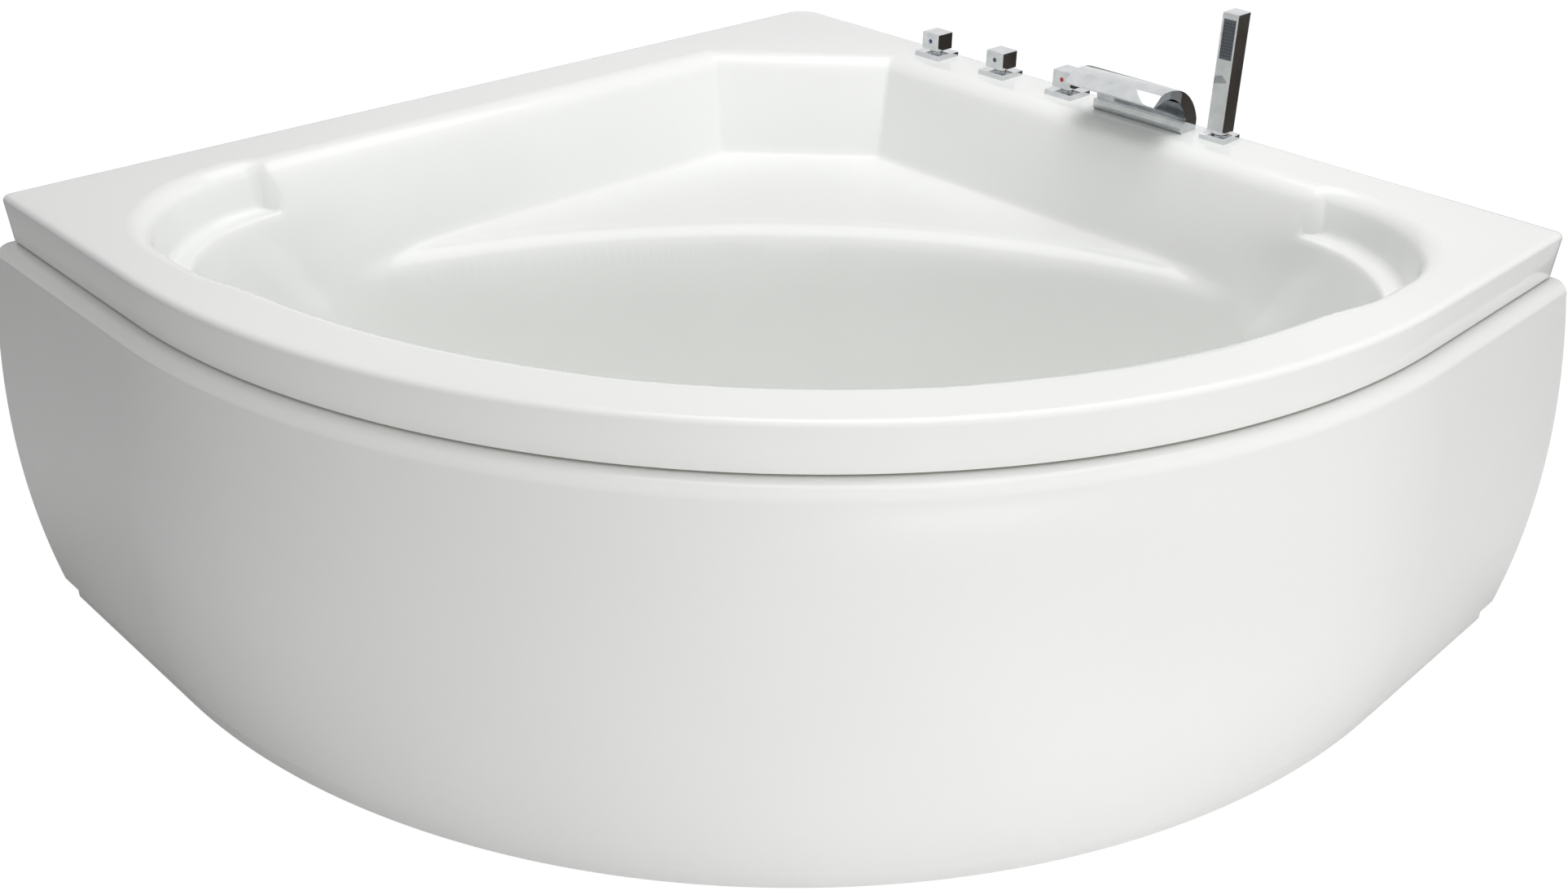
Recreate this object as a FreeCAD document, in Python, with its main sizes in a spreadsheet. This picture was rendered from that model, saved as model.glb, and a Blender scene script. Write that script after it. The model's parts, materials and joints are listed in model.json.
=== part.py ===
import FreeCAD, Part
import Sketcher
import math
import os

# Corner bathtub with a bowed front panel and deck-mounted taps, in millimetres.
# Row frame: front faces -Y, +Z up, X = 0 is the plane of symmetry, z = 0 is the floor.
# Wall frame: local x runs along the left wall, local y along the right wall, both from the
# back corner of the room, so the bath lies in the quarter where both are positive.

Vector = FreeCAD.Vector
Placement = FreeCAD.Placement
Rotation = FreeCAD.Rotation

doc = FreeCAD.newDocument("CornerBath")
sheet = doc.addObject("Spreadsheet::Sheet", "Sizes")


class Dim:
    """A length that carries both its number and the spreadsheet expression it comes from."""

    def __init__(self, number, text):
        self.number = float(number)
        self.text = text

    def __float__(self):
        return self.number

    def __add__(self, other):
        other = as_dim(other)
        return Dim(self.number + other.number, "(%s + %s)" % (self.text, other.text))

    def __radd__(self, other):
        return as_dim(other) + self

    def __sub__(self, other):
        other = as_dim(other)
        return Dim(self.number - other.number, "(%s - %s)" % (self.text, other.text))

    def __rsub__(self, other):
        return as_dim(other) - self

    def __mul__(self, other):
        other = as_dim(other)
        return Dim(self.number * other.number, "(%s * %s)" % (self.text, other.text))

    def __rmul__(self, other):
        return as_dim(other) * self

    def __truediv__(self, other):
        other = as_dim(other)
        return Dim(self.number / other.number, "(%s / %s)" % (self.text, other.text))

    def __neg__(self):
        return Dim(-self.number, "(0 - %s)" % self.text)


def as_dim(value):
    """Wrap a plain number as a Dim, and leave a Dim as it is."""
    if isinstance(value, Dim):
        return value
    return Dim(value, "(%s)" % repr(float(value)))


def root(value):
    """Square root of a Dim, for the few radii that need it."""
    return Dim(math.sqrt(value.number), "sqrt(%s)" % value.text)


sheet_row = 0


def size(alias, number):
    """Write one driving dimension into the next row of the sheet and return it."""
    global sheet_row
    sheet_row += 1
    cell = "B%d" % sheet_row
    sheet.set("A%d" % sheet_row, alias)
    sheet.set(cell, str(number))
    sheet.setAlias(cell, alias)
    return Dim(number, "Sizes." + alias)


# ---- driving dimensions -------------------------------------------------------------------

# Shell: outline, rim and deck
wall_side = size("wall_side", 1400)
end_return = size("end_return", 335)
back_corner_round = size("back_corner_round", 40)
end_corner_round = size("end_corner_round", 10)
deck_height = size("deck_height", 600)
lip_height = size("lip_height", 62)
lip_draft = size("lip_draft", 3)
shell_wall = size("shell_wall", 6)
hole_tool_length = size("hole_tool_length", 36)

# Shell: basin
deck_width = size("deck_width", 108)
front_rim = size("front_rim", 88)
basin_floor = size("basin_floor", 135)
side_draft = size("side_draft", 93)
front_draft = size("front_draft", 110)
facet_reach = size("facet_reach", 310)
facet_round = size("facet_round", 38)
basin_end_round = size("basin_end_round", 180)
opening_bevel = size("opening_bevel", 8)
seat_drop = size("seat_drop", 160)
seat_arc_radius = size("seat_arc_radius", 1200)
seat_front_depth = size("seat_front_depth", 642)
riser_draft = size("riser_draft", 78)
recess_drop = size("recess_drop", 80)
recess_start = size("recess_start", 1100)
recess_spread = size("recess_spread", 12)

# Front panel
panel_wall = size("panel_wall", 5)
panel_bulge = size("panel_bulge", 51)
panel_top_proud = size("panel_top_proud", 21)
panel_foot_proud = size("panel_foot_proud", 30.3)
panel_shoulder_round = size("panel_shoulder_round", 20)
panel_lip_gap = size("panel_lip_gap", 2)
panel_flange_inset = size("panel_flange_inset", 14)
plinth_height = size("plinth_height", 38)
plinth_bulge = size("plinth_bulge", 18)
panel_floor_gap = size("panel_floor_gap", 1.5)
panel_hook_width = size("panel_hook_width", 40)
panel_hook_inset = size("panel_hook_inset", 20)
panel_hook_foot = size("panel_hook_foot", 18)
panel_hook_angle = size("panel_hook_angle", 34)
panel_stay_place = size("panel_stay_place", 370)
panel_stay_drop = size("panel_stay_drop", 56)
strip_gauge = size("strip_gauge", 3)
seat_clearance = size("seat_clearance", 0.3)
inlay_clearance = size("inlay_clearance", 0.1)

# Base board, frame and feet
board_gauge = size("board_gauge", 18)
board_half_width = size("board_half_width", 420)
board_back = size("board_back", 770)
board_waste_gap = size("board_waste_gap", 55)
board_round = size("board_round", 60)
rail_width = size("rail_width", 30)
rail_gauge = size("rail_gauge", 2)
rear_rail_depth = size("rear_rail_depth", 850)
rear_rail_half = size("rear_rail_half", 630)
front_rail_setback = size("front_rail_setback", 50)
front_rail_half = size("front_rail_half", 500)
centre_rail_start = size("centre_rail_start", 250)
foot_inset = size("foot_inset", 30)
board_screw_radius = size("board_screw_radius", 2.5)
board_screw_head = size("board_screw_head", 6)
board_screw_grip = size("board_screw_grip", 12)
board_screw_place = size("board_screw_place", 300)
foot_rod_radius = size("foot_rod_radius", 6)
foot_rod_length = size("foot_rod_length", 116)
foot_pad_radius = size("foot_pad_radius", 26)
foot_pad_height = size("foot_pad_height", 14)
foot_pad_floor = size("foot_pad_floor", 4)
foot_pad_top_radius = size("foot_pad_top_radius", 11.7)
rod_clearance = size("rod_clearance", 0.2)
leg_nut_radius = size("leg_nut_radius", 10.5)
leg_nut_height = size("leg_nut_height", 9)

# Wall brackets
bracket_width = size("bracket_width", 45)
bracket_drop = size("bracket_drop", 58)
bracket_shelf = size("bracket_shelf", 26)
bracket_screw_drop = size("bracket_screw_drop", 40.6)
bracket_screw_radius = size("bracket_screw_radius", 3)
bracket_near = size("bracket_near", 250)
bracket_far = size("bracket_far", 1180)

# Waste and overflow
waste_setback = size("waste_setback", 66)
waste_hole_radius = size("waste_hole_radius", 26)
waste_flange_radius = size("waste_flange_radius", 36)
waste_flange_height = size("waste_flange_height", 2.5)
waste_bore_radius = size("waste_bore_radius", 21)
waste_neck_radius = size("waste_neck_radius", 24)
waste_neck_length = size("waste_neck_length", 20)
waste_body_radius = size("waste_body_radius", 28)
waste_body_drop = size("waste_body_drop", 50)
waste_tail_drop = size("waste_tail_drop", 76)
waste_collar_height = size("waste_collar_height", 4)
gasket_height = size("gasket_height", 3)
plug_radius = size("plug_radius", 29)
plug_height = size("plug_height", 7)
plug_edge_height = size("plug_edge_height", 2.8)
plug_top_radius = size("plug_top_radius", 17.4)
plug_stem_radius = size("plug_stem_radius", 5)
plug_stem_length = size("plug_stem_length", 48)
trap_radius = size("trap_radius", 45)
trap_wall = size("trap_wall", 3)
trap_bottom = size("trap_bottom", 18)
trap_height = size("trap_height", 56)
outlet_radius = size("outlet_radius", 20)
outlet_bore = size("outlet_bore", 17.5)
outlet_height = size("outlet_height", 46)
outlet_wall_gap = size("outlet_wall_gap", 150)
outlet_grip = size("outlet_grip", 60)
outlet_stop_radius = size("outlet_stop_radius", 23)
outlet_stop_width = size("outlet_stop_width", 4)
overflow_drop = size("overflow_drop", 82)
overflow_hole_radius = size("overflow_hole_radius", 22)
overflow_knob_radius = size("overflow_knob_radius", 36)
overflow_knob_height = size("overflow_knob_height", 14)
overflow_knob_face = size("overflow_knob_face", 5.6)
overflow_ring_radius = size("overflow_ring_radius", 33)
overflow_ring_height = size("overflow_ring_height", 2.5)
overflow_ring_lift = size("overflow_ring_lift", 0.8)
overflow_stem_radius = size("overflow_stem_radius", 6)
overflow_chamber_radius = size("overflow_chamber_radius", 30)
overflow_chamber_length = size("overflow_chamber_length", 44)
overflow_pipe_radius = size("overflow_pipe_radius", 16)
overflow_pipe_bore = size("overflow_pipe_bore", 14)
overflow_pipe_bend = size("overflow_pipe_bend", 45)
overflow_pipe_height = size("overflow_pipe_height", 100)
socket_wall = size("socket_wall", 2.5)
socket_clearance = size("socket_clearance", 0.2)

# Taps: three valves in a row on the right wall's deck
tap_line = size("tap_line", 37)
cold_place = size("cold_place", 350)
diverter_place = size("diverter_place", 486)
hot_place = size("hot_place", 620)
plate_side = size("plate_side", 50)
plate_height = size("plate_height", 8)
plate_bevel = size("plate_bevel", 1)
handle_side = size("handle_side", 34)
handle_height = size("handle_height", 27)
handle_neck = size("handle_neck", 5)
neck_radius = size("neck_radius", 9)
spindle_radius = size("spindle_radius", 4)
spindle_length = size("spindle_length", 34)
marker_radius = size("marker_radius", 3.5)
marker_depth = size("marker_depth", 1)
port_radius = size("port_radius", 9.5)
port_length = size("port_length", 6)
shank_radius = size("shank_radius", 10)
shank_clearance = size("shank_clearance", 0.3)
deck_hole_clearance = size("deck_hole_clearance", 1)
valve_body_radius = size("valve_body_radius", 17)
valve_body_top = size("valve_body_top", 40)
valve_body_height = size("valve_body_height", 62)
inlet_radius = size("inlet_radius", 10.48)
inlet_length = size("inlet_length", 20)
back_nut_radius = size("back_nut_radius", 18)
back_nut_height = size("back_nut_height", 8)
link_pipe_radius = size("link_pipe_radius", 7.5)
link_pipe_drop = size("link_pipe_drop", 66)
feed_pipe_drop = size("feed_pipe_drop", 84)
shower_pipe_drop = size("shower_pipe_drop", 54)
feed_pipe_offset = size("feed_pipe_offset", 78)
feed_pipe_bend = size("feed_pipe_bend", 15)

# Spout
spout_gap = size("spout_gap", 70)
spout_start = hot_place + spout_gap
spout_length = size("spout_length", 158)
spout_back = size("spout_back", 24)
spout_base_width = size("spout_base_width", 40)
spout_base_height = size("spout_base_height", 17)
hood_outer_radius = size("hood_outer_radius", 85)
hood_inner_radius = size("hood_inner_radius", 57)
hood_foot = size("hood_foot", 31)
hood_reach = size("hood_reach", 118)
hood_arch_run = size("hood_arch_run", 88)
hood_arch_height = size("hood_arch_height", 62)
hood_crest_run = size("hood_crest_run", 103)
hood_crest_height = size("hood_crest_height", 70)
spout_base_round = size("spout_base_round", 6)
hood_lip_height = size("hood_lip_height", 58)
hood_lip_gauge = size("hood_lip_gauge", 3)

# Hand shower
shower_gap = size("shower_gap", 47)
shower_place = spout_start + spout_length + shower_gap
shower_line = size("shower_line", 33)
shower_plate_side = size("shower_plate_side", 42)
shower_bar_width = size("shower_bar_width", 26)
shower_bar_depth = size("shower_bar_depth", 30)
shower_bar_height = size("shower_bar_height", 174)
shower_bar_lift = size("shower_bar_lift", 3)
shower_stem_radius = size("shower_stem_radius", 9)
shower_stem_length = size("shower_stem_length", 42)
shower_socket_radius = size("shower_socket_radius", 13)
shower_socket_depth = size("shower_socket_depth", 64)
spray_plate_width = size("spray_plate_width", 20)
spray_plate_height = size("spray_plate_height", 57)
spray_plate_gauge = size("spray_plate_gauge", 2)
spray_plate_drop = size("spray_plate_drop", 9)
nozzle_radius = size("nozzle_radius", 0.9)
nozzle_proud = size("nozzle_proud", 0.8)
nozzle_pitch = size("nozzle_pitch", 4.6)
NOZZLE_COLUMNS = 4
NOZZLE_ROWS = 11

doc.recompute()

# ---- sizes worked out from the driving dimensions -----------------------------------------

front_radius = wall_side - end_return
diagonal = math.sqrt(2.0)
arc_centre_depth = end_return * diagonal
front_depth = arc_centre_depth + front_radius + panel_bulge
back_depth = back_corner_round * (diagonal - 1.0)
frame_shift = (front_depth + back_depth) / 2.0

front_inner_depth = arc_centre_depth + front_radius - front_rim
waste_depth = front_inner_depth - front_draft - waste_setback
board_front = waste_depth - board_waste_gap
front_rail_depth = board_front - front_rail_setback

lip_bottom = deck_height - lip_height
deck_underside = deck_height - shell_wall
basin_height = deck_height - basin_floor
floor_underside = basin_floor - shell_wall
seat_height = deck_height - seat_drop
board_bottom = floor_underside - board_gauge
rail_bottom = board_bottom - rail_width
panel_top = lip_bottom - panel_lip_gap

# The panel's outer curve is one arc: it falls back from its belly to the shoulder and to the plinth.
panel_fall = panel_bulge - panel_top_proud
panel_foot_fall = panel_bulge - panel_foot_proud
panel_span = panel_top - panel_shoulder_round - plinth_height
panel_bulge_height = plinth_height + panel_span / (root(panel_fall / panel_foot_fall) + 1)
panel_rise = panel_top - panel_shoulder_round - panel_bulge_height
panel_curve_radius = (panel_rise * panel_rise + panel_fall * panel_fall) / (panel_fall * 2)
plate_top = deck_height + plate_height

WALL_FRAME = Placement(Vector(0, float(frame_shift), 0), Rotation(Vector(0, 0, 1), 225))


# ---- general helpers ----------------------------------------------------------------------

def bind(item, prop, value):
    """Give a property its number and tie it to the sheet."""
    item.setExpression(prop, as_dim(value).text)


def vector(place):
    return Vector(*[float(value) for value in place])


def name_part(item, label):
    item.Label = label
    PARTS.append(item)
    return item


def on_walls(item, label, place=(0, 0, 0), turn=None):
    """Place a finished sub-part that was drawn in the wall frame."""
    item.Placement = WALL_FRAME.multiply(Placement(vector(place), turn or Rotation()))
    return name_part(item, label)


def on_centre(item, label, across=0, depth=0, height=0, turn=None):
    """Place a finished sub-part by its distance across, and forward from the back corner."""
    spot = Vector(float(across), float(frame_shift) - float(depth), float(height))
    item.Placement = Placement(spot, turn or Rotation())
    return name_part(item, label)


PARTS = []


def new_body(name):
    return doc.addObject("PartDesign::Body", name)


def new_sketch(body, name, role, lift=0):
    """A sketch on one of the body's own origin planes, lifted along that plane's normal."""
    sketch = body.newObject("Sketcher::SketchObject", name)
    plane = [item for item in body.Origin.OriginFeatures if item.Role == role][0]
    sketch.AttachmentSupport = [(plane, "")]
    sketch.MapMode = "FlatFace"
    bind(sketch, "AttachmentOffset.Base.z", lift)
    return sketch


def pin_point(sketch, edge, point, x, y, tag):
    """Hold one sketch point at sheet-driven coordinates."""
    for kind, letter, value in (("DistanceX", "x", x), ("DistanceY", "y", y)):
        value = as_dim(value)
        index = sketch.addConstraint(Sketcher.Constraint(kind, edge, point, value.number))
        sketch.renameConstraint(index, letter + tag)
        sketch.setExpression("Constraints." + letter + tag, value.text)


def arc_between(start, end, radius):
    """Short arc of the given radius; a positive radius turns left, a negative one right."""
    chord = end - start
    half = chord.Length / 2.0
    rise = math.sqrt(max(radius * radius - half * half, 0.0))
    left = Vector(-chord.y, chord.x, 0).normalize()
    centre = (start + end) * 0.5 + left * (rise if radius > 0 else -rise)
    first, last = (start, end) if radius > 0 else (end, start)
    angles = [math.atan2(point.y - centre.y, point.x - centre.x) for point in (first, last)]
    if angles[1] < angles[0]:
        angles[1] += 2.0 * math.pi
    circle = Part.Circle(centre, Vector(0, 0, 1), abs(radius))
    return Part.ArcOfCircle(circle, angles[0], angles[1])


def draw_outline(sketch, corners, closed=True):
    """Draw edges through the corners. A corner is (x, y) or (x, y, radius of the edge after it)."""
    count = len(corners)
    points = [Vector(float(corner[0]), float(corner[1]), 0) for corner in corners]
    ends = []
    first_edge = sketch.GeometryCount
    edge_count = count if closed else count - 1
    for index in range(edge_count):
        start = points[index]
        end = points[(index + 1) % count]
        if len(corners[index]) == 3:
            radius = as_dim(corners[index][2])
            edge = sketch.addGeometry(arc_between(start, end, radius.number), False)
            ends.append((edge, 1, 2) if radius.number > 0 else (edge, 2, 1))
        else:
            edge = sketch.addGeometry(Part.LineSegment(start, end), False)
            ends.append((edge, 1, 2))
    for index in range(edge_count):
        if closed or index < edge_count - 1:
            edge, unused, finish = ends[index]
            following, begin, unused = ends[(index + 1) % edge_count]
            sketch.addConstraint(Sketcher.Constraint("Coincident", edge, finish, following, begin))
        tag = "%d" % (first_edge + index)
        pin_point(sketch, ends[index][0], ends[index][1], corners[index][0], corners[index][1], tag)
        if len(corners[index]) == 3:
            radius = as_dim(corners[index][2])
            radius = radius if radius.number > 0 else -radius
            number = sketch.addConstraint(Sketcher.Constraint("Radius", ends[index][0], radius.number))
            sketch.renameConstraint(number, "r" + tag)
            sketch.setExpression("Constraints.r" + tag, radius.text)
    if not closed:
        edge, unused, finish = ends[-1]
        pin_point(sketch, edge, finish, corners[-1][0], corners[-1][1], "end")
    return sketch


def draw_circle(sketch, x, y, radius):
    edge = sketch.addGeometry(Part.Circle(vector((x, y, 0)), Vector(0, 0, 1), float(radius)), False)
    pin_point(sketch, edge, 3, x, y, "c%d" % edge)
    number = sketch.addConstraint(Sketcher.Constraint("Radius", edge, float(radius)))
    sketch.renameConstraint(number, "radius%d" % edge)
    sketch.setExpression("Constraints.radius%d" % edge, as_dim(radius).text)


def pad(body, sketch, length, name="Pad"):
    feature = body.newObject("PartDesign::Pad", name)
    feature.Profile = sketch
    bind(feature, "Length", length)
    return feature


def turned(name, profile):
    """A body turned about its own z axis from a profile of (radius, height) corners."""
    body = new_body(name)
    sketch = draw_outline(new_sketch(body, name + "_profile", "XZ_Plane"), profile)
    feature = body.newObject("PartDesign::Revolution", name + "_turned")
    feature.Profile = sketch
    feature.ReferenceAxis = (sketch, ["V_Axis"])
    feature.Angle = 360
    return body


def prism(name, corners, height, holes=(), lift=0):
    """A body padded upwards from an outline, with round holes given as (x, y, radius)."""
    body = new_body(name)
    sketch = draw_outline(new_sketch(body, name + "_outline", "XY_Plane", lift), corners)
    for hole in holes:
        draw_circle(sketch, *hole)
    pad(body, sketch, height, name + "_pad")
    return body


def rectangle(x_low, y_low, x_high, y_high):
    return [(x_low, y_low), (x_high, y_low), (x_high, y_high), (x_low, y_high)]


def cylinder(name, radius, height, place=(0, 0, 0), turn=None):
    item = doc.addObject("Part::Cylinder", name)
    bind(item, "Radius", radius)
    bind(item, "Height", height)
    item.Placement = Placement(vector(place), turn or Rotation())
    return item


def box(name, length, width, height, place=(0, 0, 0)):
    item = doc.addObject("Part::Box", name)
    bind(item, "Length", length)
    bind(item, "Width", width)
    bind(item, "Height", height)
    item.Placement = Placement(vector(place), Rotation())
    return item


def cut(name, base, tools):
    """Cut one or more tools from a base."""
    if len(tools) == 1:
        tool = tools[0]
    else:
        tool = doc.addObject("Part::MultiFuse", name + "_tools")
        tool.Shapes = tools
    item = doc.addObject("Part::Cut", name)
    item.Base = base
    item.Tool = tool
    return item


def fuse(name, items):
    item = doc.addObject("Part::MultiFuse", name)
    item.Shapes = items
    return item


def common(name, first, second):
    item = doc.addObject("Part::Common", name)
    item.Base = first
    item.Tool = second
    return item


def group(name, items):
    """Several separate solids kept as one sub-part."""
    item = doc.addObject("Part::Compound", name)
    item.Links = items
    return item


# A cylinder starts upright; these lay it along local +x, +y and -y.
ALONG_X = Rotation(Vector(0, 1, 0), 90)
ALONG_Y = Rotation(Vector(1, 0, 0), -90)
AGAINST_Y = Rotation(Vector(1, 0, 0), 90)


# ---- tub shell ----------------------------------------------------------------------------

def rounded_square(name, inset_wall, inset_front, height):
    """Deck outline: two walls, two square returns and the front arc, as a flat section."""
    side = wall_side - inset_front
    radius = front_radius - inset_front
    small = end_corner_round - inset_wall
    back = back_corner_round - inset_wall
    corners = [
        (inset_wall + back, inset_wall),
        (side - small, inset_wall, small),
        (side, inset_wall + small),
        (side, end_return, radius),
        (end_return, side),
        (inset_wall + small, side, small),
        (inset_wall, side - small),
        (inset_wall, inset_wall + back, back),
    ]
    return flat_section(name, corners, height)


def flat_section(name, corners, height):
    sketch = doc.addObject("Sketcher::SketchObject", name)
    bind(sketch, "Placement.Base.z", height)
    return draw_outline(sketch, corners)


def basin_section(name, inward, inward_front, height):
    """Basin outline at one level, drawn in from the opening by its two drafts."""
    wall = deck_width + inward
    radius = front_radius - front_rim - inward_front
    far = end_return + radius
    bend = basin_end_round - inward
    near = facet_reach + inward * (diagonal - 1.0)
    cut_back = facet_round * math.tan(math.radians(22.5))
    slant = cut_back / diagonal
    corners = [
        (near + cut_back, wall),
        (far - bend, wall, bend),
        (far, wall + bend),
        (far, end_return, radius),
        (end_return, far),
        (wall + bend, far, bend),
        (wall, far - bend),
        (wall, near + cut_back, facet_round),
        (wall + slant, near - slant),
        (near - slant, wall + slant, facet_round),
    ]
    return flat_section(name, corners, height)


def loft(name, sections):
    item = doc.addObject("Part::Loft", name)
    item.Sections = sections
    item.Solid = True
    item.Ruled = True
    return item


def seat_block(name, extra, top):
    """Everything behind the seat's front arc and below its top, as a drafted block."""
    sections = []
    for tag, height, grow in (("low", 0, riser_draft * top / seat_height), ("top", top, 0)):
        depth = seat_front_depth - extra + grow
        radius = seat_arc_radius - grow + extra
        reach = wall_side / diagonal
        drop = radius.number - math.sqrt(radius.number ** 2 - reach.number ** 2)
        start = (-reach, -(depth + drop), -radius)
        behind = wall_side - depth
        corners = [start, (reach, -(depth + drop)), (reach, behind), (-reach, behind)]
        sections.append(flat_section(name + "_" + tag, corners, height))
    block = loft(name, sections)
    block.Placement = Placement(Vector(), Rotation(Vector(0, 0, 1), 135))
    return block


rim_outer = loft("rim_outer", [
    rounded_square("rim_outline_low", as_dim(0), lip_draft, lip_bottom),
    rounded_square("rim_outline_top", as_dim(0), as_dim(0), deck_height),
])
rim_under = loft("rim_under", [
    rounded_square("rim_inside_low", shell_wall, shell_wall + lip_draft, lip_bottom),
    rounded_square("rim_inside_top", shell_wall, shell_wall, deck_underside),
])
bowl_outer = loft("bowl_outer", [
    basin_section("bowl_outer_low", side_draft - shell_wall, front_draft - shell_wall, floor_underside),
    basin_section("bowl_outer_top", -shell_wall, -shell_wall, deck_height),
])
bowl_inner = loft("bowl_inner", [
    basin_section("bowl_inner_low", side_draft, front_draft, basin_floor),
    basin_section("bowl_inner_top", as_dim(0), as_dim(0), deck_height),
])
seat_solid = seat_block("seat_solid", as_dim(0), seat_height)
seat_void = seat_block("seat_void", shell_wall, seat_height - shell_wall)



def end_recess(name, spread, bottom, margin):
    """The opening's outline, spread a little and carried straight down at the two ends."""
    well = loft(name + "_well", [
        basin_section(name + "_low", -spread, -spread, bottom),
        basin_section(name + "_top", -spread, -spread, deck_height),
    ])
    start = recess_start - margin
    reach = end_return + basin_end_round + margin
    ends = fuse(name + "_ends", [
        box(name + "_left", wall_side - start, reach, deck_height, (start, 0, 0)),
        box(name + "_right", reach, wall_side - start, deck_height, (0, start, 0)),
    ])
    return common(name, well, ends)


recess_bottom = deck_height - recess_drop
recesses = end_recess("recess", recess_spread, recess_bottom, as_dim(0))
recess_casing = end_recess("recess_casing", recess_spread + shell_wall,
                           recess_bottom - shell_wall, shell_wall)

opening_flare = loft("opening_flare", [
    basin_section("flare_low", opening_bevel * side_draft / basin_height,
                  opening_bevel * front_draft / basin_height, deck_height - opening_bevel),
    basin_section("flare_top", -opening_bevel, -opening_bevel, deck_height),
])
basin_space = fuse("basin_space", [
    cut("basin_cavity", bowl_inner, [seat_solid]),
    recesses,
    opening_flare,
])
shell_mass = fuse("shell_mass", [
    cut("rim_shell", rim_outer, [rim_under]),
    cut("bowl_mass", bowl_outer, [seat_void]),
    recess_casing,
])
TAP_PLACES = (("cold", cold_place), ("diverter", diverter_place), ("hot", hot_place))
tap_hole_radius = shank_radius + deck_hole_clearance
shower_hole_radius = shower_socket_radius + deck_hole_clearance
spout_middle = spout_start + spout_length / 2.0
spout_line = spout_back + spout_base_width / 2.0
waste_place = waste_depth / diagonal

# The overflow goes through the front wall square to its slope, on the plane of symmetry.
wall_lean = math.atan2(float(front_draft), float(basin_height))
overflow_height = deck_height - overflow_drop
overflow_depth = front_inner_depth - overflow_drop * front_draft / basin_height
OVERFLOW_TURN = Rotation(Vector(1, 0, 0), -90 + math.degrees(wall_lean))


def wall_hole(name, across, along, height, radius):
    """An upright cutting cylinder whose middle is at the given height."""
    return cylinder(name, radius, hole_tool_length, (across, along, height - hole_tool_length / 2.0))


def in_wall_frame(depth, height, turn):
    """A place on the plane of symmetry, given in the row frame and returned in the wall frame."""
    row_place = Placement(Vector(0, float(frame_shift) - float(depth), float(height)), turn)
    return WALL_FRAME.inverse().multiply(row_place)


shell_holes = [wall_hole(name + "_hole", tap_line, place, deck_height, tap_hole_radius)
               for name, place in TAP_PLACES]
shell_holes.append(wall_hole("spout_hole", spout_line, spout_middle, deck_height, tap_hole_radius))
shell_holes.append(wall_hole("shower_hole", shower_line, shower_place, deck_height, shower_hole_radius))
shell_holes.append(wall_hole("waste_hole", waste_place, waste_place, basin_floor, waste_hole_radius))
overflow_hole = cylinder("overflow_hole", overflow_hole_radius, hole_tool_length)
overflow_hole.Placement = in_wall_frame(overflow_depth, overflow_height, OVERFLOW_TURN).multiply(
    Placement(Vector(0, 0, -float(hole_tool_length) / 2.0), Rotation()))
shell_holes.append(overflow_hole)

tub = cut("tub", cut("shell_hollow", shell_mass, [basin_space]), shell_holes)
on_walls(tub, "tub_shell")


# ---- front panel --------------------------------------------------------------------------

def panel_point(height, inset=0):
    """Radius of the panel's outer curve at a height, measured from the front arc's centre."""
    rise = height - panel_bulge_height
    fall = panel_curve_radius.number - math.sqrt(panel_curve_radius.number ** 2 - rise.number ** 2)
    return front_radius + panel_bulge - fall - inset


def panel_profile():
    """Outer and inner line of the panel, from the plinth up to the flange under the lip."""
    turn = panel_shoulder_round
    shoulder_low = panel_top - turn
    inner_turn = turn - panel_wall
    outer_top = panel_point(shoulder_low)
    plinth = front_radius + plinth_bulge
    flange_edge = front_radius - panel_flange_inset
    step_top = plinth_height + panel_wall
    return [
        (plinth - panel_wall, panel_floor_gap),
        (plinth, panel_floor_gap),
        (plinth, plinth_height),
        (panel_point(plinth_height), plinth_height, panel_curve_radius),
        (outer_top, shoulder_low, turn),
        (outer_top - turn, panel_top),
        (flange_edge, panel_top),
        (flange_edge, panel_top - panel_wall),
        (outer_top - turn, panel_top - panel_wall, -inner_turn),
        (outer_top - panel_wall, shoulder_low, -(panel_curve_radius - panel_wall)),
        (panel_point(step_top, panel_wall), step_top),
        (plinth - panel_wall, step_top),
    ]


def panel_part(name, role):
    body = new_body(name)
    return body, draw_outline(new_sketch(body, name + "_profile", role), panel_profile())


front_bow, bow_profile = panel_part("panel_bow", "XZ_Plane")
bow = front_bow.newObject("PartDesign::Revolution", "panel_bow_turned")
bow.Profile = bow_profile
bow.ReferenceAxis = (bow_profile, ["V_Axis"])
bow.Angle = 90

left_return, left_profile = panel_part("panel_left_return", "XZ_Plane")
pad(left_return, left_profile, end_return, "left_return_pad")

right_return, right_profile = panel_part("panel_right_return", "YZ_Plane")
right_pad = pad(right_return, right_profile, end_return, "right_return_pad")
right_pad.Reversed = True

panel = fuse("panel", [front_bow, left_return, right_return])
on_walls(panel, "front_panel", (end_return, end_return, 0))

def radial_strip(name, corners, angle):
    """A bent strip drawn as (radius, height) and set at an angle off the middle of the front arc."""
    body = new_body(name)
    sketch = draw_outline(new_sketch(body, name + "_profile", "XZ_Plane"), corners)
    pad(body, sketch, panel_hook_width, name + "_pad").Midplane = True
    centre = Placement(vector((end_return, end_return, 0)), Rotation(Vector(0, 0, 1), 45 + angle))
    body.Placement = centre
    return body


hook_outer = front_radius - panel_hook_inset
hook_inner = hook_outer - strip_gauge
flange_underside = panel_top - panel_wall
hook_bottom = flange_underside - strip_gauge
HOOK_CORNERS = [
    (hook_inner, hook_bottom),
    (hook_outer + panel_hook_foot, hook_bottom),
    (hook_outer + panel_hook_foot, flange_underside),
    (hook_outer, flange_underside),
    (hook_outer, deck_underside),
    (hook_inner, deck_underside),
]
hangers = [radial_strip("hanger_%d" % (step + 2), HOOK_CORNERS, step * float(panel_hook_angle))
           for step in (-1, 0, 1)]
on_walls(group("hangers", hangers), "panel_hangers")

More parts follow.
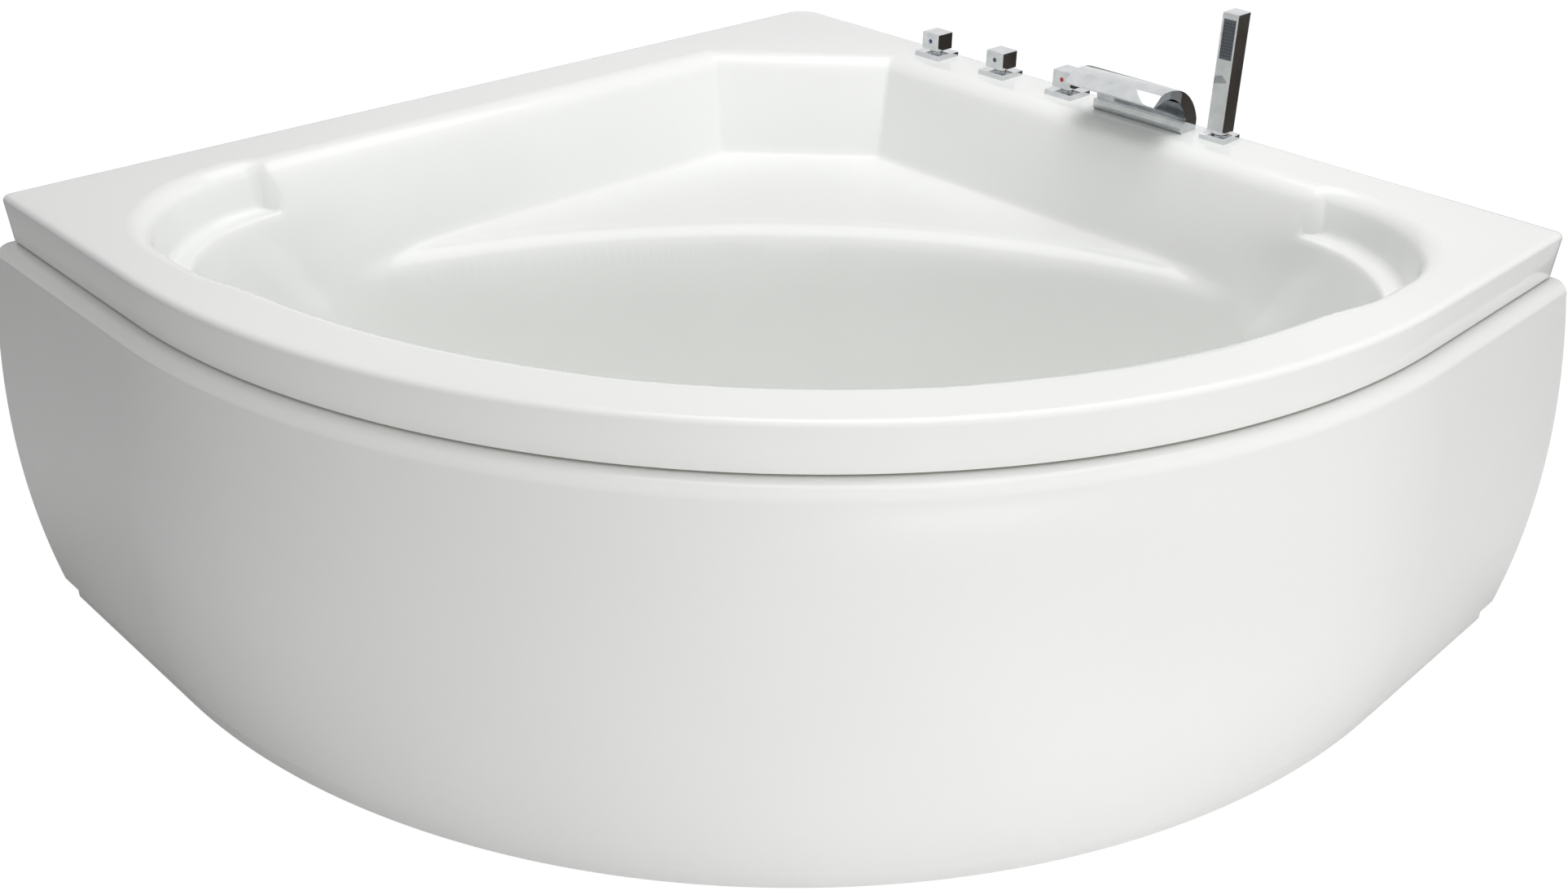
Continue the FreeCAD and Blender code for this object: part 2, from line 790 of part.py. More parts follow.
stay_outer = front_radius + plinth_bulge - panel_wall - seat_clearance
stay_rail_reach = front_rail_depth - arc_centre_depth
stay_angle = math.atan2(float(panel_stay_place), float(stay_rail_reach))
stay_start = (stay_rail_reach - rail_width / 2.0) / math.cos(stay_angle)
STAY_CORNERS = [
    (stay_start, rail_bottom - strip_gauge),
    (stay_outer - strip_gauge, rail_bottom - strip_gauge),
    (stay_outer - strip_gauge, rail_bottom - panel_stay_drop),
    (stay_outer, rail_bottom - panel_stay_drop),
    (stay_outer, rail_bottom),
    (stay_start, rail_bottom),
]
stays = [radial_strip("stay_%d" % (number + 1), STAY_CORNERS, sign * math.degrees(stay_angle))
         for number, sign in enumerate((-1, 1))]
on_walls(group("stays", stays), "panel_stays")


# ---- wall brackets ------------------------------------------------------------------------

def wall_bracket(name, on_left_wall, place):
    """A stepped strip: screwed plate on the wall, shelf under the lip, upright to the deck."""
    gauge = strip_gauge
    corners = [
        (0, lip_bottom - bracket_drop),
        (gauge, lip_bottom - bracket_drop),
        (gauge, lip_bottom - gauge),
        (bracket_shelf, lip_bottom - gauge),
        (bracket_shelf, deck_underside),
        (bracket_shelf - gauge, deck_underside),
        (bracket_shelf - gauge, lip_bottom),
        (0, lip_bottom),
    ]
    body = new_body(name)
    sketch = draw_outline(new_sketch(body, name + "_profile", "XZ_Plane"), corners)
    pad(body, sketch, bracket_width, name + "_pad").Midplane = True
    screw_height = lip_bottom - bracket_screw_drop
    hole = cylinder(name + "_hole", bracket_screw_radius, strip_gauge, (0, 0, screw_height), ALONG_X)
    bracket = cut(name + "_drilled", body, [hole])
    if on_left_wall:
        bracket.Placement = Placement(vector((place, 0, 0)), Rotation(Vector(0, 0, 1), 90))
    else:
        bracket.Placement = Placement(vector((0, place, 0)), Rotation())
    return bracket


brackets = []
for on_left_wall, side_name in ((True, "left"), (False, "right")):
    for spot_name, place in (("near", bracket_near), ("far", bracket_far)):
        brackets.append(wall_bracket("bracket_%s_%s" % (side_name, spot_name), on_left_wall, place))
on_walls(group("brackets", brackets), "wall_brackets")


# ---- base board, frame and feet -----------------------------------------------------------

def rounded_rectangle(x_low, y_low, x_high, y_high, turn):
    return [
        (x_low + turn, y_low),
        (x_high - turn, y_low, turn),
        (x_high, y_low + turn),
        (x_high, y_high - turn, turn),
        (x_high - turn, y_high),
        (x_low + turn, y_high, turn),
        (x_low, y_high - turn),
        (x_low, y_low + turn, turn),
    ]


screw_hole_radius = board_screw_radius + rod_clearance
CROSS_RAILS = (
    ("rear_cross_rail", rear_rail_depth, rear_rail_half),
    ("front_cross_rail", front_rail_depth, front_rail_half),
)
board = prism("board", rounded_rectangle(-board_half_width, -board_front, board_half_width, -board_back,
                                         board_round), board_gauge)
board_holes = []
for rail_name, rail_depth, half in CROSS_RAILS:
    for number, sign in enumerate((-1, 1)):
        board_holes.append(cylinder("%s_pilot_%d" % (rail_name, number), screw_hole_radius,
                                    board_screw_grip + rod_clearance,
                                    (sign * board_screw_place, -rail_depth, 0)))
on_centre(cut("board_drilled", board, board_holes), "base_board", 0, 0, board_bottom)


def square_rail(name, start, end, rod_places, screw_places=()):
    """A square tube along local x, with upright holes for the foot rods and board screws."""
    outside = box(name + "_outside", end - start, rail_width, rail_width,
                  (start, -rail_width / 2.0, 0))
    inner = rail_width - rail_gauge * 2
    inside = box(name + "_inside", end - start, inner, inner,
                 (start, -inner / 2.0, rail_gauge))
    tools = [inside]
    for number, place in enumerate(rod_places):
        tools.append(cylinder("%s_rod_hole_%d" % (name, number), foot_rod_radius + rod_clearance,
                              rail_width, (place, 0, 0)))
    for number, place in enumerate(screw_places):
        tools.append(cylinder("%s_screw_hole_%d" % (name, number), screw_hole_radius,
                              rail_width, (place, 0, 0)))
    return cut(name, outside, tools)


FEET = []
for rail_name, rail_depth, half in CROSS_RAILS:
    foot_across = half - foot_inset
    rail = square_rail(rail_name + "_tube", -half, half, (-foot_across, foot_across),
                       (-board_screw_place, board_screw_place))
    on_centre(rail, rail_name, 0, rail_depth, rail_bottom)
    FEET.append((-foot_across, rail_depth))
    FEET.append((foot_across, rail_depth))

quarter_turn = Rotation(Vector(0, 0, 1), -90)
rear_face = rear_rail_depth - rail_width / 2.0
back_rail = square_rail("back_tube", centre_rail_start, rear_face, (centre_rail_start + foot_inset,))
on_centre(back_rail, "centre_rail_back", 0, 0, rail_bottom, quarter_turn)
front_rail = square_rail("middle_tube", rear_rail_depth + rail_width / 2.0,
                         front_rail_depth - rail_width / 2.0, ())
on_centre(front_rail, "centre_rail_front", 0, 0, rail_bottom, quarter_turn)
FEET.append((as_dim(0), centre_rail_start + foot_inset))

screw_length = rail_width + board_screw_grip
screws = []
for rail_name, rail_depth, half in CROSS_RAILS:
    for number, sign in enumerate((-1, 1)):
        screw = turned("%s_screw_%d" % (rail_name, number), [
            (0, -strip_gauge),
            (board_screw_head, -strip_gauge),
            (board_screw_head, 0),
            (board_screw_radius, 0),
            (board_screw_radius, screw_length),
            (0, screw_length),
        ])
        screw.Placement = Placement(vector((sign * board_screw_place, -rail_depth, 0)), Rotation())
        screws.append(screw)
on_centre(group("screws", screws), "board_screws", 0, 0, rail_bottom)


def hexagon_nut(name, radius, height, bore, place):
    blank = doc.addObject("Part::Prism", name + "_blank")
    blank.Polygon = 6
    bind(blank, "Circumradius", radius)
    bind(blank, "Height", height)
    nut = cut(name, blank, [cylinder(name + "_bore", bore, height)])
    nut.Placement = Placement(vector(place), Rotation())
    return nut


leg_nuts = []
for number, (across, depth) in enumerate(FEET):
    rod = cylinder("rod_%d" % (number + 1), foot_rod_radius, foot_rod_length)
    on_centre(rod, "foot_rod_%d" % (number + 1), across, depth, foot_pad_floor)
    pad_bore = foot_rod_radius + rod_clearance
    foot_pad = turned("pad_%d" % (number + 1), [
        (0, 0),
        (foot_pad_radius, 0),
        (foot_pad_radius, foot_pad_floor),
        (foot_pad_top_radius, foot_pad_height),
        (pad_bore, foot_pad_height),
        (pad_bore, foot_pad_floor),
        (0, foot_pad_floor),
    ])
    on_centre(foot_pad, "foot_pad_%d" % (number + 1), across, depth, 0)
    for level, height in (("low", -leg_nut_height), ("high", rail_width)):
        leg_nuts.append(hexagon_nut("leg_nut_%d_%s" % (number + 1, level), leg_nut_radius,
                                    leg_nut_height, pad_bore, (across, -depth, height)))
on_centre(group("nuts", leg_nuts), "leg_nuts", 0, 0, rail_bottom)


# ---- waste and trap -----------------------------------------------------------------------

flange = turned("flange", [
    (waste_bore_radius, -waste_neck_length),
    (waste_neck_radius, -waste_neck_length),
    (waste_neck_radius, 0),
    (waste_flange_radius, 0),
    (waste_flange_radius - waste_flange_height, waste_flange_height),
    (waste_bore_radius, waste_flange_height),
])
on_centre(flange, "waste_flange", 0, waste_depth, basin_floor)

neck_bore = waste_neck_radius + shank_clearance
gasket_profile = rectangle(neck_bore, -gasket_height, waste_flange_radius, 0)
on_centre(turned("waste_gasket_ring", gasket_profile), "waste_gasket", 0, waste_depth, floor_underside)

body_top = floor_underside - gasket_height
body_low = basin_floor - waste_body_drop
tail_low = basin_floor - waste_tail_drop
waste_tube = turned("waste_tube", [
    (neck_bore, body_top),
    (waste_flange_radius, body_top),
    (waste_flange_radius, body_top - waste_collar_height),
    (waste_body_radius, body_top - waste_collar_height),
    (waste_body_radius, body_low),
    (outlet_radius, body_low),
    (outlet_radius, tail_low),
    (outlet_bore, tail_low),
    (outlet_bore, body_low + socket_wall),
    (neck_bore, body_low + socket_wall),
])
pipe_socket_bore = overflow_pipe_radius + socket_clearance
pipe_socket_radius = pipe_socket_bore + socket_wall
waste_socket_reach = waste_body_radius + overflow_pipe_radius
side_socket = cylinder("waste_socket", pipe_socket_radius, waste_socket_reach,
                       (0, 0, overflow_pipe_height), AGAINST_Y)
side_port = cylinder("waste_port", overflow_pipe_bore, waste_socket_reach,
                     (0, 0, overflow_pipe_height), AGAINST_Y)
side_bore = cylinder("waste_socket_bore", pipe_socket_bore, waste_socket_reach,
                     (0, -(waste_body_radius + socket_clearance), overflow_pipe_height), AGAINST_Y)
side_inside = cylinder("waste_inside", neck_bore, body_top - body_low - socket_wall,
                       (0, 0, body_low + socket_wall))
waste_shell = cut("waste_shell", fuse("waste_mass", [waste_tube, side_socket]),
                  [side_port, side_bore, side_inside])
on_centre(waste_shell, "waste_body", 0, waste_depth, 0)

plug = turned("plug", [
    (0, -plug_stem_length),
    (plug_stem_radius, -plug_stem_length),
    (plug_stem_radius, 0),
    (plug_radius, 0),
    (plug_radius, plug_edge_height),
    (plug_top_radius, plug_height),
    (0, plug_height),
])
on_centre(plug, "waste_plug", 0, waste_depth, basin_floor + waste_flange_height + seat_clearance)

trap_top = trap_bottom + trap_height
trap_bore = outlet_radius + socket_clearance
trap_cup = turned("trap", [
    (0, trap_bottom),
    (trap_radius, trap_bottom),
    (trap_radius, trap_top),
    (trap_bore, trap_top),
    (trap_bore, trap_top - trap_wall),
    (trap_radius - trap_wall, trap_top - trap_wall),
    (trap_radius - trap_wall, trap_bottom + trap_wall),
    (0, trap_bottom + trap_wall),
])
trap_socket_reach = trap_radius + outlet_radius
trap_socket = cylinder("trap_socket", trap_bore + socket_wall, trap_socket_reach,
                       (0, 0, outlet_height), ALONG_Y)
trap_port = cylinder("trap_port", outlet_bore, trap_socket_reach, (0, 0, outlet_height), ALONG_Y)
trap_socket_bore = cylinder("trap_socket_bore", trap_bore, trap_socket_reach,
                            (0, trap_radius, outlet_height), ALONG_Y)
trap_inside = cylinder("trap_inside", trap_radius - trap_wall, trap_height - trap_wall * 2,
                       (0, 0, trap_bottom + trap_wall))
trap_shell = cut("trap_shell", fuse("trap_mass", [trap_cup, trap_socket]),
                 [trap_port, trap_socket_bore, trap_inside])

# The outlet leaves square to the left wall, clear of the feet and under the rails. A coupling
# slides over its free end as far as the stop ring.
TO_LEFT_WALL = Rotation(Vector(0, 0, 1), 45)
on_centre(trap_shell, "trap_cup", 0, waste_depth, 0, TO_LEFT_WALL)
outlet_start = trap_radius + socket_clearance
outlet_length = waste_place - outlet_start - outlet_wall_gap
stop_far = outlet_length - outlet_grip
stop_near = stop_far - outlet_stop_width
outlet = turned("outlet", [
    (outlet_bore, 0),
    (outlet_radius, 0),
    (outlet_radius, stop_near),
    (outlet_stop_radius, stop_near),
    (outlet_stop_radius, stop_far),
    (outlet_radius, stop_far),
    (outlet_radius, outlet_length),
    (outlet_bore, outlet_length),
])
on_centre(outlet, "outlet_pipe", -(outlet_start / diagonal), waste_depth - outlet_start / diagonal,
          outlet_height, TO_LEFT_WALL.multiply(ALONG_Y))


# ---- overflow -----------------------------------------------------------------------------

def on_overflow(item, label):
    """Place a piece drawn along the overflow's own axis, z pointing into the basin."""
    return on_centre(item, label, 0, overflow_depth, overflow_height, OVERFLOW_TURN)


ring_neck = overflow_hole_radius - socket_clearance
behind_wall = shell_wall + gasket_height
ring_low = overflow_ring_lift
ring_top = ring_low + overflow_ring_height
ring = turned("ring", [
    (ring_neck - socket_wall, -behind_wall),
    (ring_neck, -behind_wall),
    (ring_neck, ring_low),
    (overflow_ring_radius, ring_low),
    (overflow_ring_radius, ring_top),
    (ring_neck - socket_wall, ring_top),
])
on_overflow(ring, "overflow_ring")

knob_low = ring_top + seat_clearance
knob_top = knob_low + overflow_knob_height
knob = turned("knob", [
    (0, -behind_wall),
    (overflow_stem_radius, -behind_wall),
    (overflow_stem_radius, knob_top - overflow_knob_face),
    (overflow_ring_radius, knob_top - overflow_knob_face),
    (overflow_ring_radius, knob_low),
    (overflow_knob_radius, knob_low),
    (overflow_knob_radius, knob_top - plate_bevel),
    (overflow_knob_radius - plate_bevel, knob_top),
    (0, knob_top),
])
on_overflow(knob, "overflow_knob")

gasket_top = -(shell_wall + overflow_ring_lift)
overflow_gasket = turned("overflow_gasket_ring", rectangle(
    overflow_hole_radius, gasket_top - gasket_height, overflow_ring_radius, gasket_top))
on_overflow(overflow_gasket, "overflow_gasket")

chamber_top = gasket_top - gasket_height
chamber_low = chamber_top - overflow_chamber_length
chamber_middle = float(chamber_top + chamber_low) / 2.0
drop_depth = overflow_depth - chamber_middle * math.cos(wall_lean)
drop_height = overflow_height + chamber_middle * math.sin(wall_lean)
chamber = cylinder("chamber", overflow_chamber_radius, overflow_chamber_length, (0, 0, chamber_low))
chamber_hollow = cylinder("chamber_hollow", overflow_chamber_radius - socket_wall,
                          overflow_chamber_length - socket_wall * 2, (0, 0, chamber_low + socket_wall))
chamber_mouth = cylinder("chamber_mouth", ring_neck - socket_wall, socket_wall * 2,
                         (0, 0, chamber_top - socket_wall * 2))
drop_socket_length = overflow_chamber_radius + overflow_pipe_radius
UPRIGHT = Placement(Vector(), OVERFLOW_TURN).inverse()


def below_chamber(name, radius, gap):
    """An upright cylinder that hangs down from the middle of the overflow chamber."""
    item = cylinder(name, radius, drop_socket_length - gap)
    down = UPRIGHT.multiply(Placement(Vector(0, 0, -float(drop_socket_length)), Rotation()))
    item.Placement = Placement(Vector(0, 0, chamber_middle), Rotation()).multiply(down)
    return item


socket_step = overflow_pipe_radius - socket_wall
overflow_shell = cut("overflow_shell", fuse("overflow_mass", [
    chamber, below_chamber("drop_socket", pipe_socket_radius, as_dim(0))]), [
    chamber_hollow,
    chamber_mouth,
    below_chamber("drop_port", overflow_pipe_bore, as_dim(0)),
    below_chamber("drop_bore", pipe_socket_bore, drop_socket_length - socket_step),
])
on_overflow(overflow_shell, "overflow_body")

pipe_top = drop_height - drop_socket_length.number + float(socket_step) - float(socket_clearance)
pipe_end = waste_depth + waste_body_radius + socket_clearance * 2
bend = overflow_pipe_bend
overflow_pipe = new_body("overflow_tube")
overflow_spine = draw_outline(new_sketch(overflow_pipe, "overflow_spine", "YZ_Plane"), [
    (-drop_depth, pipe_top),
    (-drop_depth, overflow_pipe_height + bend, bend),
    (bend - drop_depth, overflow_pipe_height),
    (-pipe_end, overflow_pipe_height),
], closed=False)
overflow_section = new_sketch(overflow_pipe, "overflow_section", "XY_Plane", pipe_top)
draw_circle(overflow_section, 0, -drop_depth, overflow_pipe_radius)
draw_circle(overflow_section, 0, -drop_depth, overflow_pipe_bore)
overflow_sweep = overflow_pipe.newObject("PartDesign::AdditivePipe", "overflow_sweep")
overflow_sweep.Profile = overflow_section
overflow_sweep.Spine = (overflow_spine, ["Edge1", "Edge2", "Edge3"])
on_centre(overflow_pipe, "overflow_pipe")


# ---- taps ---------------------------------------------------------------------------------

def square_outline(side, far_side=None):
    far_side = far_side or side
    return rectangle(-side / 2.0, -far_side / 2.0, side / 2.0, far_side / 2.0)


def bevelled_block(name, outline, height, lift, holes=()):
    """A straight block with a small bevel round its top edges."""
    body = prism(name, outline, height, holes, lift)
    doc.recompute()
    top = float(as_dim(lift) + height)
    block = body.Tip
    names = []
    for index, edge in enumerate(block.Shape.Edges):
        level = abs(edge.BoundBox.ZMin - top) < 0.01
        if level and edge.Curve.TypeId == "Part::GeomLine":
            names.append("Edge%d" % (index + 1))
    bevel = body.newObject("PartDesign::Chamfer", name + "_bevel")
    bevel.Base = (block, names)
    bind(bevel, "Size", plate_bevel)
    return body


neck_hole = shank_radius + shank_clearance
shank_top = plate_top - seat_clearance
valve_top = deck_height - valve_body_top
valve_low = valve_top - valve_body_height
handle_low = plate_top + handle_neck


def escutcheon(label, side, across, along, hole_radius):
    plate = bevelled_block(label + "_plate", square_outline(side), plate_height, deck_height,
                           [(0, 0, hole_radius)])
    on_walls(plate, label, (across, along, 0))


def tap_handle(name, along):
    """Cube handle on a round neck, with its spindle and a shallow seat for the marker dot."""
    cube = bevelled_block(name + "_cube", square_outline(handle_side), handle_height, handle_low)
    neck = cylinder(name + "_neck", neck_radius, handle_neck - seat_clearance,
                    (0, 0, plate_top + seat_clearance))
    spindle = cylinder(name + "_spindle", spindle_radius, spindle_length + handle_neck,
                       (0, 0, handle_low - handle_neck - spindle_length))
    marker_height = handle_low + handle_height / 2.0
    marker_start = handle_side / 2.0 - marker_depth
    seat = cylinder(name + "_marker_seat", marker_radius + inlay_clearance, marker_depth,
                    (marker_start, 0, marker_height), ALONG_X)
    handle = cut(name + "_handle_solid", fuse(name + "_handle_mass", [cube, neck, spindle]), [seat])
    on_walls(handle, name + "_handle", (tap_line, along, 0))
    marker = cylinder(name + "_dot", marker_radius, marker_depth)
    on_walls(marker, name + "_marker", (tap_line + marker_start, along, marker_height), ALONG_X)


def side_port_boss(name, height, turn):
    """A flat-ended boss that a link pipe butts against."""
    return cylinder(name, port_radius, valve_body_radius + port_length, (0, 0, height), turn)


link_height = deck_height - link_pipe_drop
feed_height = deck_height - feed_pipe_drop
shower_feed_height = deck_height - shower_pipe_drop


def valve_body(name, along, ports, has_inlet):
    """Threaded shank through the deck, body below it, side ports and an inlet tail."""
    low = valve_low - inlet_length if has_inlet else valve_low
    tail = inlet_radius if has_inlet else valve_body_radius
    spindle_bore = spindle_radius + shank_clearance
    bore_low = handle_low - handle_neck - spindle_length - socket_wall
    profile = [(0, low), (tail, low)]
    if has_inlet:
        profile += [(tail, valve_low), (valve_body_radius, valve_low)]
    profile += [
        (valve_body_radius, valve_top),
        (shank_radius, valve_top),
        (shank_radius, shank_top),
        (spindle_bore, shank_top),
        (spindle_bore, bore_low),
        (0, bore_low),
    ]
    bosses = [side_port_boss("%s_port_%d" % (name, number), height, turn)
              for number, (height, turn) in enumerate(ports)]
    valve = fuse(name + "_valve", [turned(name + "_valve_barrel", profile)] + bosses)
    on_walls(valve, name + "_valve_body", (tap_line, along, 0))


VALVE_PORTS = {
    "cold": ((link_height, ALONG_Y),),
    "diverter": ((link_height, AGAINST_Y), (link_height, ALONG_Y), (feed_height, ALONG_X),
                 (shower_feed_height, ALONG_X)),
    "hot": ((link_height, AGAINST_Y),),
}
back_nuts = []


def back_nut(name, across, along, bore, radius):
    nut = hexagon_nut(name, radius, back_nut_height, bore,
                      (across, along, deck_underside - back_nut_height))
    back_nuts.append(nut)


for tap_name, tap_place in TAP_PLACES:
    escutcheon(tap_name + "_escutcheon", plate_side, tap_line, tap_place, neck_hole)
    tap_handle(tap_name, tap_place)
    valve_body(tap_name, tap_place, VALVE_PORTS[tap_name], tap_name != "diverter")
    back_nut(tap_name + "_back_nut", tap_line, tap_place, neck_hole, back_nut_radius)


# ---- spout --------------------------------------------------------------------------------

spout_front = spout_back + spout_base_width
base_top = deck_height + spout_base_height
spout_base = new_body("spout_slab")
slab_sketch = draw_outline(new_sketch(spout_base, "slab_profile", "XZ_Plane"), [
    (spout_back, deck_height),
    (spout_front - spout_base_round, deck_height, spout_base_round),
    (spout_front, deck_height + spout_base_round),
    (spout_front, base_top),
    (spout_back, base_top),
])
pad(spout_base, slab_sketch, spout_length, "slab_pad").Midplane = True
on_walls(spout_base, "spout_base", (0, spout_middle, 0))

hood_lip = deck_height + hood_lip_height
hood = new_body("hood")
hood_sketch = draw_outline(new_sketch(hood, "hood_profile", "XZ_Plane"), [
    (spout_back, base_top),
    (spout_back + hood_foot, base_top, -hood_inner_radius),
    (spout_back + hood_arch_run, deck_height + hood_arch_height),
    (spout_back + hood_reach, hood_lip - hood_lip_gauge),
    (spout_back + hood_reach, hood_lip),
    (spout_back + hood_crest_run, deck_height + hood_crest_height, hood_outer_radius),
])
pad(hood, hood_sketch, spout_length, "hood_pad").Midplane = True
on_walls(hood, "spout_hood", (0, spout_middle, 0))

spout_shank_low = feed_height - port_radius - socket_wall
spout_barrel = cylinder("spout_barrel", shank_radius, deck_height - spout_shank_low,
                        (0, 0, spout_shank_low))
spout_boss = side_port_boss("spout_boss", feed_height, ALONG_X)
on_walls(fuse("spout_shank_solid", [spout_barrel, spout_boss]), "spout_shank",
         (spout_line, spout_middle, 0))
back_nut("spout_back_nut", spout_line, spout_middle, neck_hole, back_nut_radius)


# ---- hand shower --------------------------------------------------------------------------

socket_hole = shower_socket_radius + socket_clearance
escutcheon("shower_escutcheon", shower_plate_side, shower_line, shower_place, socket_hole)

stem_hole = shower_stem_radius + socket_clearance
socket_low = deck_height - shower_socket_depth
bar_low = plate_top + shower_bar_lift
stem_low = bar_low - shower_stem_length
socket_barrel = turned("socket_barrel", [
    (0, socket_low),
    (shower_socket_radius, socket_low),
    (shower_socket_radius, shank_top),
    (stem_hole, shank_top),
    (stem_hole, stem_low - socket_wall),
    (0, stem_low - socket_wall),
])
socket_boss = side_port_boss("socket_boss", shower_feed_height, ALONG_X)
on_walls(fuse("socket_solid", [socket_barrel, socket_boss]), "shower_socket",
         (shower_line, shower_place, 0))
back_nut("shower_back_nut", shower_line, shower_place, socket_hole, back_nut_radius + socket_wall)
on_walls(group("tap_nuts", back_nuts), "tap_back_nuts")

bar = bevelled_block("bar", square_outline(shower_bar_depth, shower_bar_width), shower_bar_height, bar_low)
bar_top = bar_low + shower_bar_height
stem = cylinder("bar_stem", shower_stem_radius, shower_stem_length, (0, 0, stem_low))
collar = cylinder("bar_collar", shower_stem_radius + socket_wall, shower_bar_lift - seat_clearance,
                  (0, 0, plate_top + seat_clearance))
face = shower_bar_depth / 2.0
spray_low = bar_top - spray_plate_drop - spray_plate_height
spray_seat = box("spray_seat", spray_plate_gauge, spray_plate_width, spray_plate_height,
                 (face - spray_plate_gauge, -spray_plate_width / 2.0, spray_low))
hand_shower = cut("hand_shower_solid", fuse("hand_shower_mass", [bar, stem, collar]), [spray_seat])
on_walls(hand_shower, "hand_shower_body", (shower_line, shower_place, 0))

spray_plate = box("spray_plate_solid", spray_plate_gauge, spray_plate_width - inlay_clearance * 2,
                  spray_plate_height - inlay_clearance * 2)
on_walls(spray_plate, "spray_plate", (shower_line + face - spray_plate_gauge,
                                      shower_place - spray_plate_width / 2.0 + inlay_clearance,
                                      spray_low + inlay_clearance))
nozzles = []
spray_middle = spray_low + spray_plate_height / 2.0
for row in range(NOZZLE_ROWS):
    for column in range(NOZZLE_COLUMNS):
        rise = nozzle_pitch * (row - (NOZZLE_ROWS - 1) / 2.0)
        shift = nozzle_pitch * (column - (NOZZLE_COLUMNS - 1) / 2.0)
        nozzles.append(cylinder("nozzle_%d_%d" % (row + 1, column + 1), nozzle_radius, nozzle_proud,
                                (0, shift, rise), ALONG_X))
on_walls(group("nozzles", nozzles), "spray_nozzles", (shower_line + face, shower_place, spray_middle))


# ---- pipes under the deck -----------------------------------------------------------------

def straight_pipe(label, start, end):
    """A link pipe along the wall between the flat ends of two ports."""
    item = cylinder(label + "_rod", link_pipe_radius, end - start)
    on_walls(item, label, (tap_line, start, link_height), ALONG_Y)


port_reach = valve_body_radius + port_length
straight_pipe("cold_link_pipe", cold_place + port_reach, diverter_place - port_reach)
straight_pipe("hot_link_pipe", diverter_place + port_reach, hot_place - port_reach)


def feed_pipe(label, height, target_line, target_place):
    """A pipe from the diverter, along the deck beside the valves, to a port further on."""
    body = new_body(label + "_tube")
    bend = feed_pipe_bend
    run = feed_pipe_offset
    spine = draw_outline(new_sketch(body, label + "_spine", "XY_Plane", height), [
        (tap_line + port_reach, diverter_place),
        (run - bend, diverter_place, bend),
        (run, diverter_place + bend),
        (run, target_place - bend, bend),
        (run - bend, target_place),
        (target_line + port_reach, target_place),
    ], closed=False)
    section = new_sketch(body, label + "_section", "YZ_Plane", tap_line + port_reach)
    draw_circle(section, diverter_place, height, link_pipe_radius)
    sweep = body.newObject("PartDesign::AdditivePipe", label + "_sweep")
    sweep.Profile = section
    sweep.Spine = (spine, ["Edge%d" % (index + 1) for index in range(5)])
    on_walls(body, label)


feed_pipe("spout_feed_pipe", feed_height, spout_line, spout_middle)
feed_pipe("shower_feed_pipe", shower_feed_height, shower_line, shower_place)


# ---- check and write ----------------------------------------------------------------------

doc.recompute()
for item in doc.Objects:
    if "Invalid" in item.State or "Error" in item.State:
        raise RuntimeError("%s did not build" % item.Label)
labels = [part.Label for part in PARTS]
if len(set(labels)) != len(labels):
    raise RuntimeError("two sub-parts share a name")
for part in PARTS:
    if part.Shape.isNull() or not part.Shape.isValid() or not part.Shape.Solids:
        raise RuntimeError("%s has no valid solid" % part.Label)
os.makedirs("parts", exist_ok=True)
for part in PARTS:
    part.Shape.exportStep("parts/%s.step" % part.Label)
print("%d sub-parts written" % len(PARTS))
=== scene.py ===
"""Corner bath: the visible surfaces, materials, light and camera, in metres in the row frame."""
import json
import math

import bpy
import numpy as np
from mathutils import Matrix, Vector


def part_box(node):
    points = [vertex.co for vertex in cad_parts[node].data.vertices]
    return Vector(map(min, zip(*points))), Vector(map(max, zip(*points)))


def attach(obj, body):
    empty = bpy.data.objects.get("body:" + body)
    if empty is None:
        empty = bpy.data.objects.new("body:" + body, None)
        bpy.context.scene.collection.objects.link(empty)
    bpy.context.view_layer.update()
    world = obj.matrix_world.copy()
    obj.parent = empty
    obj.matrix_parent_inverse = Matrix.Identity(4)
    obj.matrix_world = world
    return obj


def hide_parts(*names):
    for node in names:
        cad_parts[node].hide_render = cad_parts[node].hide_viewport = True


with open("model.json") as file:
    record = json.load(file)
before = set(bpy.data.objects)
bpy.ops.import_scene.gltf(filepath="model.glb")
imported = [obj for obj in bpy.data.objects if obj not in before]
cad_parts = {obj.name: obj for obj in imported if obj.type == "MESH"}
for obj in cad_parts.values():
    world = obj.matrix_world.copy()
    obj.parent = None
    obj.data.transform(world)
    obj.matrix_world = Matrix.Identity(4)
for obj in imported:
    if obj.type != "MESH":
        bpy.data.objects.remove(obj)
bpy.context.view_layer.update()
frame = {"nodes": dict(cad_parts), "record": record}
nodes = frame["nodes"]

MM = 0.001
DIAGONAL = math.sqrt(2.0)


# ---- sizes and places, in millimetres -----------------------------------------------------

# The bath stands in a corner of two walls. "along" runs along a wall from the corner, "out" is
# the distance from that wall. The row frame has its y axis on the plane of symmetry.
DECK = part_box("cold_escutcheon")[0][2] / MM
WALL_SIDE = 1400.0
END_RETURN = 335.0
FRONT_RADIUS = WALL_SIDE - END_RETURN
ARC_CENTRE_DEPTH = END_RETURN * DIAGONAL
BACK_ROUND = 40.0
END_ROUND = 10.0
RIM_EDGE = 8.0
LIP_BOTTOM = DECK - 62.0
LIP_DRAFT = 3.0
LIP_ROUND = 2.5
SHELL = 6.0

# The basin. Its walls lean inwards by their draft between the deck and the floor.
FLOOR = 135.0
DEEP = DECK - FLOOR
DECK_WIDTH = 108.0
FRONT_RIM = 88.0
BASIN_RADIUS = FRONT_RADIUS - FRONT_RIM
BASIN_FRONT = ARC_CENTRE_DEPTH + BASIN_RADIUS
BASIN_END_ROUND = 180.0
SIDE_DRAFT = 93.0
FRONT_DRAFT = 110.0
FACET_REACH = 310.0
FACET_ANGLE = 45.0
FACET_ROUND = 14.0
DECK_EDGE = 24.0
FLOOR_FILLET = 46.0

